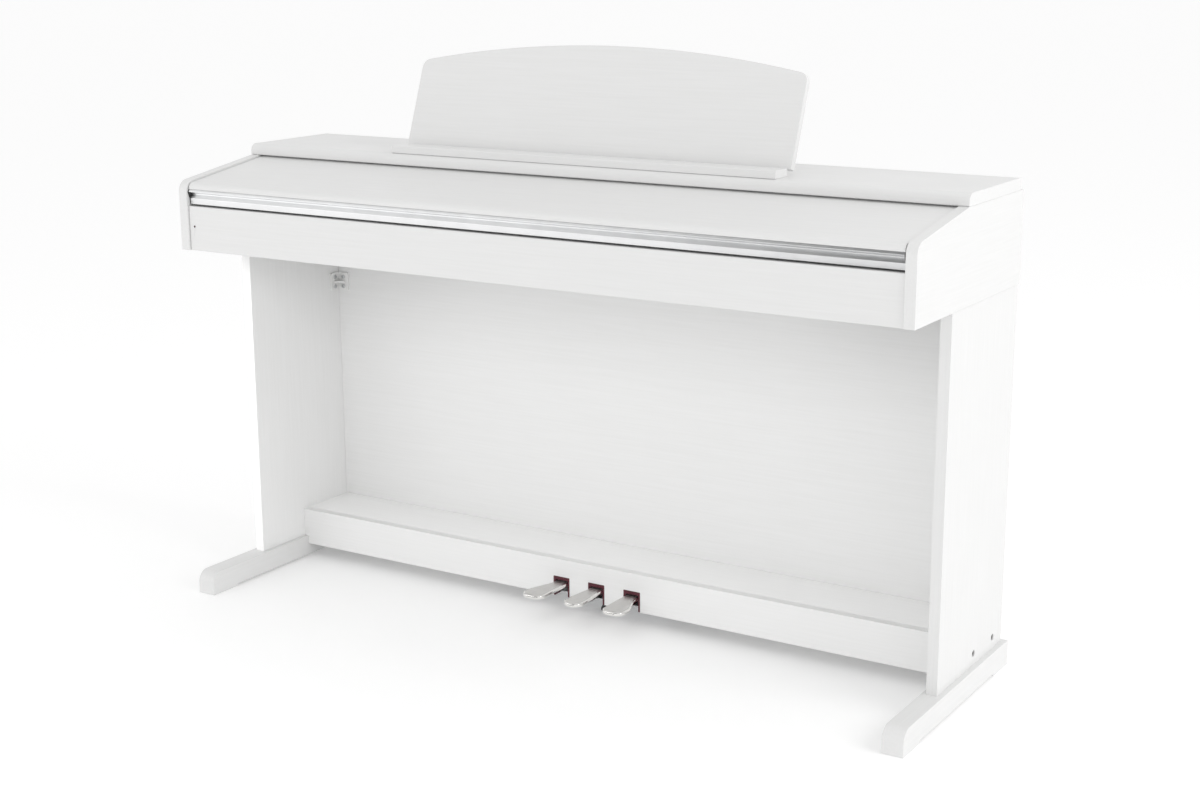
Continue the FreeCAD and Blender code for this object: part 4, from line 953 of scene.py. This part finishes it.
def make_corner_brackets():
    """Moulded corner pieces: two rounded leaves, a rib between them and a boss round each screw."""
    low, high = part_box("corner_brackets")
    side, back = high.x, high.y
    leaf, reach = 4 * MM, 27 * MM
    screw_in = 16 * MM
    heights = (523 * MM, 542 * MM)
    on_leg = prism(rectangle(back - reach, back, low.z, high.z, 4 * MM), "YZ", side - leaf, side)
    on_panel = prism(rectangle(side - reach, side, low.z, high.z, 4 * MM), "XZ", back - leaf, back)
    rib_reach = 23 * MM
    corner = [(side - leaf, back - rib_reach), (side - leaf, back - leaf), (side - rib_reach, back - leaf)]
    rib = prism(rounded(corner, (2 * MM, 0, 2 * MM)), "XY", 531 * MM, 534 * MM)
    boss = lathe([(0, -1 * MM), (5.6 * MM, -1 * MM), (5.2 * MM, 0.6 * MM), (0, 0.6 * MM)], steps=32)
    head = pan_head(4 * MM, 2.5 * MM)
    bosses, heads = [], []
    for z in heights:
        for axis, spot in (
            ((-1, 0, 0), Vector((side - leaf, back - screw_in, z))),
            ((0, -1, 0), Vector((side - screw_in, back - leaf, z))),
        ):
            bosses.append(moved(boss, towards(axis, spot)))
            heads.append(moved(head, towards(axis, spot + Vector(axis) * 0.4 * MM)))
    bracket = joined(on_leg, on_panel, rib, *bosses)
    both = joined(bracket, mirrored(bracket))
    piece("corner_bracket_mouldings", both, "white_plastic", "piano", 0.5 * MM, ("corner_brackets",))
    screws = joined(*heads)
    piece("corner_bracket_screws", joined(screws, mirrored(screws)), "zinc", "piano", 0, ("bracket_screws",))


BOX_BOLTS, BOX_BOLT_HEIGHT = (83 * MM, 168 * MM), 63 * MM
ANGLE_BOLTS = (-30 * MM, 140 * MM)


def make_stand_bolts():
    """Socket-head bolts: two in each leg's outer face, and those of the angles under the body."""
    leg_inner, leg_outer = [corner.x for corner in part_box("right_leg")]
    body_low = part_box("bottom_board")[0].z
    head = socket_head(5 * MM, 3 * MM)
    spots = [((1, 0, 0), (leg_outer - 5 * MM, y, BOX_BOLT_HEIGHT)) for y in BOX_BOLTS]
    for y in ANGLE_BOLTS:
        spots.append(((0, 0, -1), (leg_inner - 15 * MM, y, body_low - 2 * MM)))
        spots.append(((-1, 0, 0), (leg_inner - 2 * MM, y, body_low - 15 * MM)))
    heads = joined(*[moved(head, towards(axis, spot)) for axis, spot in spots])
    piece("stand_bolt_heads", joined(heads, mirrored(heads)), "dark_screw", "piano", 0, ("stand_bolts",))


def make_levelling_foot():
    """A threaded stem on a round pad with a ribbed rim."""
    low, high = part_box("levelling_foot")
    centre = ((low.x + high.x) / 2, (low.y + high.y) / 2, low.z)
    height = high.z - low.z
    profile = [
        (0, 0), (16.5 * MM, 0), (17.7 * MM, 0.6 * MM, 0.8 * MM), (17.4 * MM, 4 * MM, 0.8 * MM),
        (16 * MM, 7.6 * MM, 0.8 * MM), (15 * MM, 8.6 * MM), (13.5 * MM, 9 * MM), (0, 9 * MM),
    ]
    pad = lathe(profile, centre, steps=144, flutes=24)
    thread = [(0, 8 * MM)]
    pitch = 1.5 * MM
    for turn in range(int((height - 10 * MM) / pitch)):
        level = 9 * MM + turn * pitch
        thread += [(4.3 * MM, level), (5 * MM, level + 0.5 * pitch)]
    thread += [(4.3 * MM, height), (0, height)]
    piece("levelling_foot_pad", pad, "black_plastic", "levelling_foot", 0, ("levelling_foot",))
    piece("levelling_foot_stem", lathe(thread, centre, steps=32), "zinc", "levelling_foot")


# ---------------------------------------------------------------------------
# Pedals
# ---------------------------------------------------------------------------

NOTCH_PITCH = 74 * MM
NOTCH_HALF = 17 * MM
BOSS_IN = 9 * MM
TOE_RADIUS, SPREAD_RADIUS, FLARE_RADIUS = 17 * MM, 24 * MM, 60 * MM
NAP_SCALE, NAP_DEPTH = 600, 0.18 * MM
NECK_HALF, TOE_HALF, TOE_SPREAD = 13 * MM, 18.5 * MM, 31 * MM


def pedal_outline(low, high, index):
    """The blade from above, anticlockwise: a neck, and a rounded toe that spreads outwards."""
    centre = index * NOTCH_PITCH
    left = {-1: TOE_SPREAD, 0: TOE_HALF, 1: NECK_HALF}[index]
    right = {-1: NECK_HALF, 0: TOE_HALF, 1: TOE_SPREAD}[index]
    flare, toe, tail = 38 * MM, -8 * MM, high.y - BOSS_IN
    corners = [(centre - left, low.y), (centre + right, low.y)]
    radii = [TOE_RADIUS, TOE_RADIUS]
    if right != NECK_HALF:
        corners.append((centre + right, toe))
        radii.append(SPREAD_RADIUS)
        corners.append((centre + NECK_HALF, flare))
        radii.append(FLARE_RADIUS)
    corners += [(centre + NECK_HALF, tail), (centre - NECK_HALF, tail)]
    radii += [0, 0]
    if left != NECK_HALF:
        corners.append((centre - NECK_HALF, flare))
        radii.append(FLARE_RADIUS)
        corners.append((centre - left, toe))
        radii.append(SPREAD_RADIUS)
    return rounded(corners, radii)


def make_pedal(node, body, index):
    """A cast blade with a satin top inside a polished rolled edge, and its pivot boss."""
    low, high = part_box(node)
    top = 55 * MM
    bottom = 48 * MM
    outline = pedal_outline(low, high, index)
    steps = (
        (1.6, bottom), (0.5, bottom + 0.4 * MM), (0, bottom + 1.4 * MM), (0, top - 2.4 * MM),
        (0.25, top - 1.3 * MM), (0.8, top - 0.6 * MM), (1.5, top - 0.2 * MM), (2.1, top),
    )
    rings = [stand_up(inset(outline, amount * MM), "XY", level) for amount, level in steps]
    centre = (index * NOTCH_PITCH, high.y - BOSS_IN, 46 * MM)
    boss = [(4.1, -13), (8.4, -13), (9, -12.4), (9, 12.4), (8.4, 13), (4.1, 13)]
    profile = [(radius * MM, along * MM) for radius, along in boss]
    solid = joined(loft(rings), lathe(profile, centre, (1, 0, 0), 48, closed=True))
    item = piece(node + "_casting", solid, "pedal_rim", body, 0, (node,))
    paint(item, "pedal_top", lambda spot, normal: normal.z > 0.999 and spot.y < high.y - 20 * MM)


def make_pedal_felts():
    """Strips of thick felt round the top and sides of each notch, with a slightly uneven nap. The top strip
    is partly painted shade: it is drawn deeper than the felt, and its lower part stands in for the shaded
    gap above the pedal.
    """
    low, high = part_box("pedal_felts")
    # The top strip's depth holds real felt and, below it, painted shade for the dark gap between felt and
    # pedal.
    side, cap = 3.5 * MM, 6.2 * MM
    liners = []
    for index in (-1, 0, 1):
        centre = index * NOTCH_PITCH
        left, right = centre - NOTCH_HALF, centre + NOTCH_HALF
        corners = [
            (left, low.z), (left + side, low.z), (left + side, high.z - cap),
            (right - side, high.z - cap), (right - side, low.z), (right, low.z),
            (right, high.z), (left, high.z),
        ]
        outline = rounded(corners, (0, 0, 1 * MM, 1 * MM, 0, 0, 0.8 * MM, 0.8 * MM))
        liners.append(prism(outline, "XZ", low.y - 0.3 * MM, high.y))
    item = piece("pedal_notch_felts_and_painted_shade", joined(*liners), "red_felt", "piano", 0, ("pedal_felts",))
    work = bmesh.new()
    work.from_mesh(item.data)
    bmesh.ops.triangulate(work, faces=work.faces)
    for _ in range(5):
        long_edges = [edge for edge in work.edges if edge.calc_length() > 1.4 * MM]
        bmesh.ops.subdivide_edges(work, edges=long_edges, cuts=1)
        bmesh.ops.triangulate(work, faces=work.faces)
    work.normal_update()
    for vertex in work.verts:
        vertex.co += vertex.normal * noise.noise(vertex.co * NAP_SCALE) * NAP_DEPTH
    work.to_mesh(item.data)
    work.free()
    shade_smooth(item.data)


# ---------------------------------------------------------------------------
# CAD nodes shown as they are
# ---------------------------------------------------------------------------

KEPT = {
    "front_rail": ("foil_x", 0.8),
    "bottom_board": ("foil_x", 0.6),
    "rear_board": ("foil_x", 0.8),
    "control_panel": ("white_plastic", 0.5),
    "key_end_blocks": ("white_plastic", 0.8),
    "connector_panel": ("black_metal", 0.3),
    "speakers": ("black_plastic", 0.3),
    "main_board": ("circuit", 0.2),
    "key_frame": ("zinc", 0.3),
    "key_felts": ("key_felt", 0.5),
    "lid_gear_shaft": ("zinc", 0.1),
    "lid_tracks": ("white_plastic", 0.15),
    "lid_runners": ("nylon", 0.4),
    "lid_brackets": ("zinc", 0.4),
    "music_rest_hinges": ("zinc", 0.3),
    "music_rest_fittings": ("white_plastic", 0.4),
    "left_leg": ("foil_z", 0.8),
    "right_leg": ("foil_z", 0.8),
    "stand_back_panel": ("foil_x", 0.8),
    "pedal_front_board": ("foil_x", 0.8),
    "pedal_top_board": ("foil_x", 0.8),
    "pedal_tray": ("zinc", 0.4),
    "pedal_pivot_rod": ("zinc", 0.3),
    "body_angles": ("zinc", 0.3),
}


# ---------------------------------------------------------------------------
# Studio and camera first, then the object
# ---------------------------------------------------------------------------

make_camera()
make_studio()

for node, (finish, arris) in KEPT.items():
    keep(node, finish, arris * MM)
make_cheeks()
make_top_board()
make_pilot_lamp()
make_speaker_grilles()
make_connectors()
for note in WHITE_CUTS:
    make_white_keys(note)
for note in BLACK_NOTES:
    make_black_keys(note)
make_control_felt()
make_volume_knob()
make_power_button()
for node in ("voice_button", "metronome_button"):
    make_function_button(node)
make_lid_panel()
make_grip_rail()
make_ledge()
make_desk()
make_prop()
make_feet()
make_corner_brackets()
make_stand_bolts()
make_levelling_foot()
for node, body, index in (
    ("pedal_left", "left_pedal", -1),
    ("pedal_middle", "middle_pedal", 0),
    ("pedal_right", "right_pedal", 1),
):
    make_pedal(node, body, index)
make_pedal_felts()
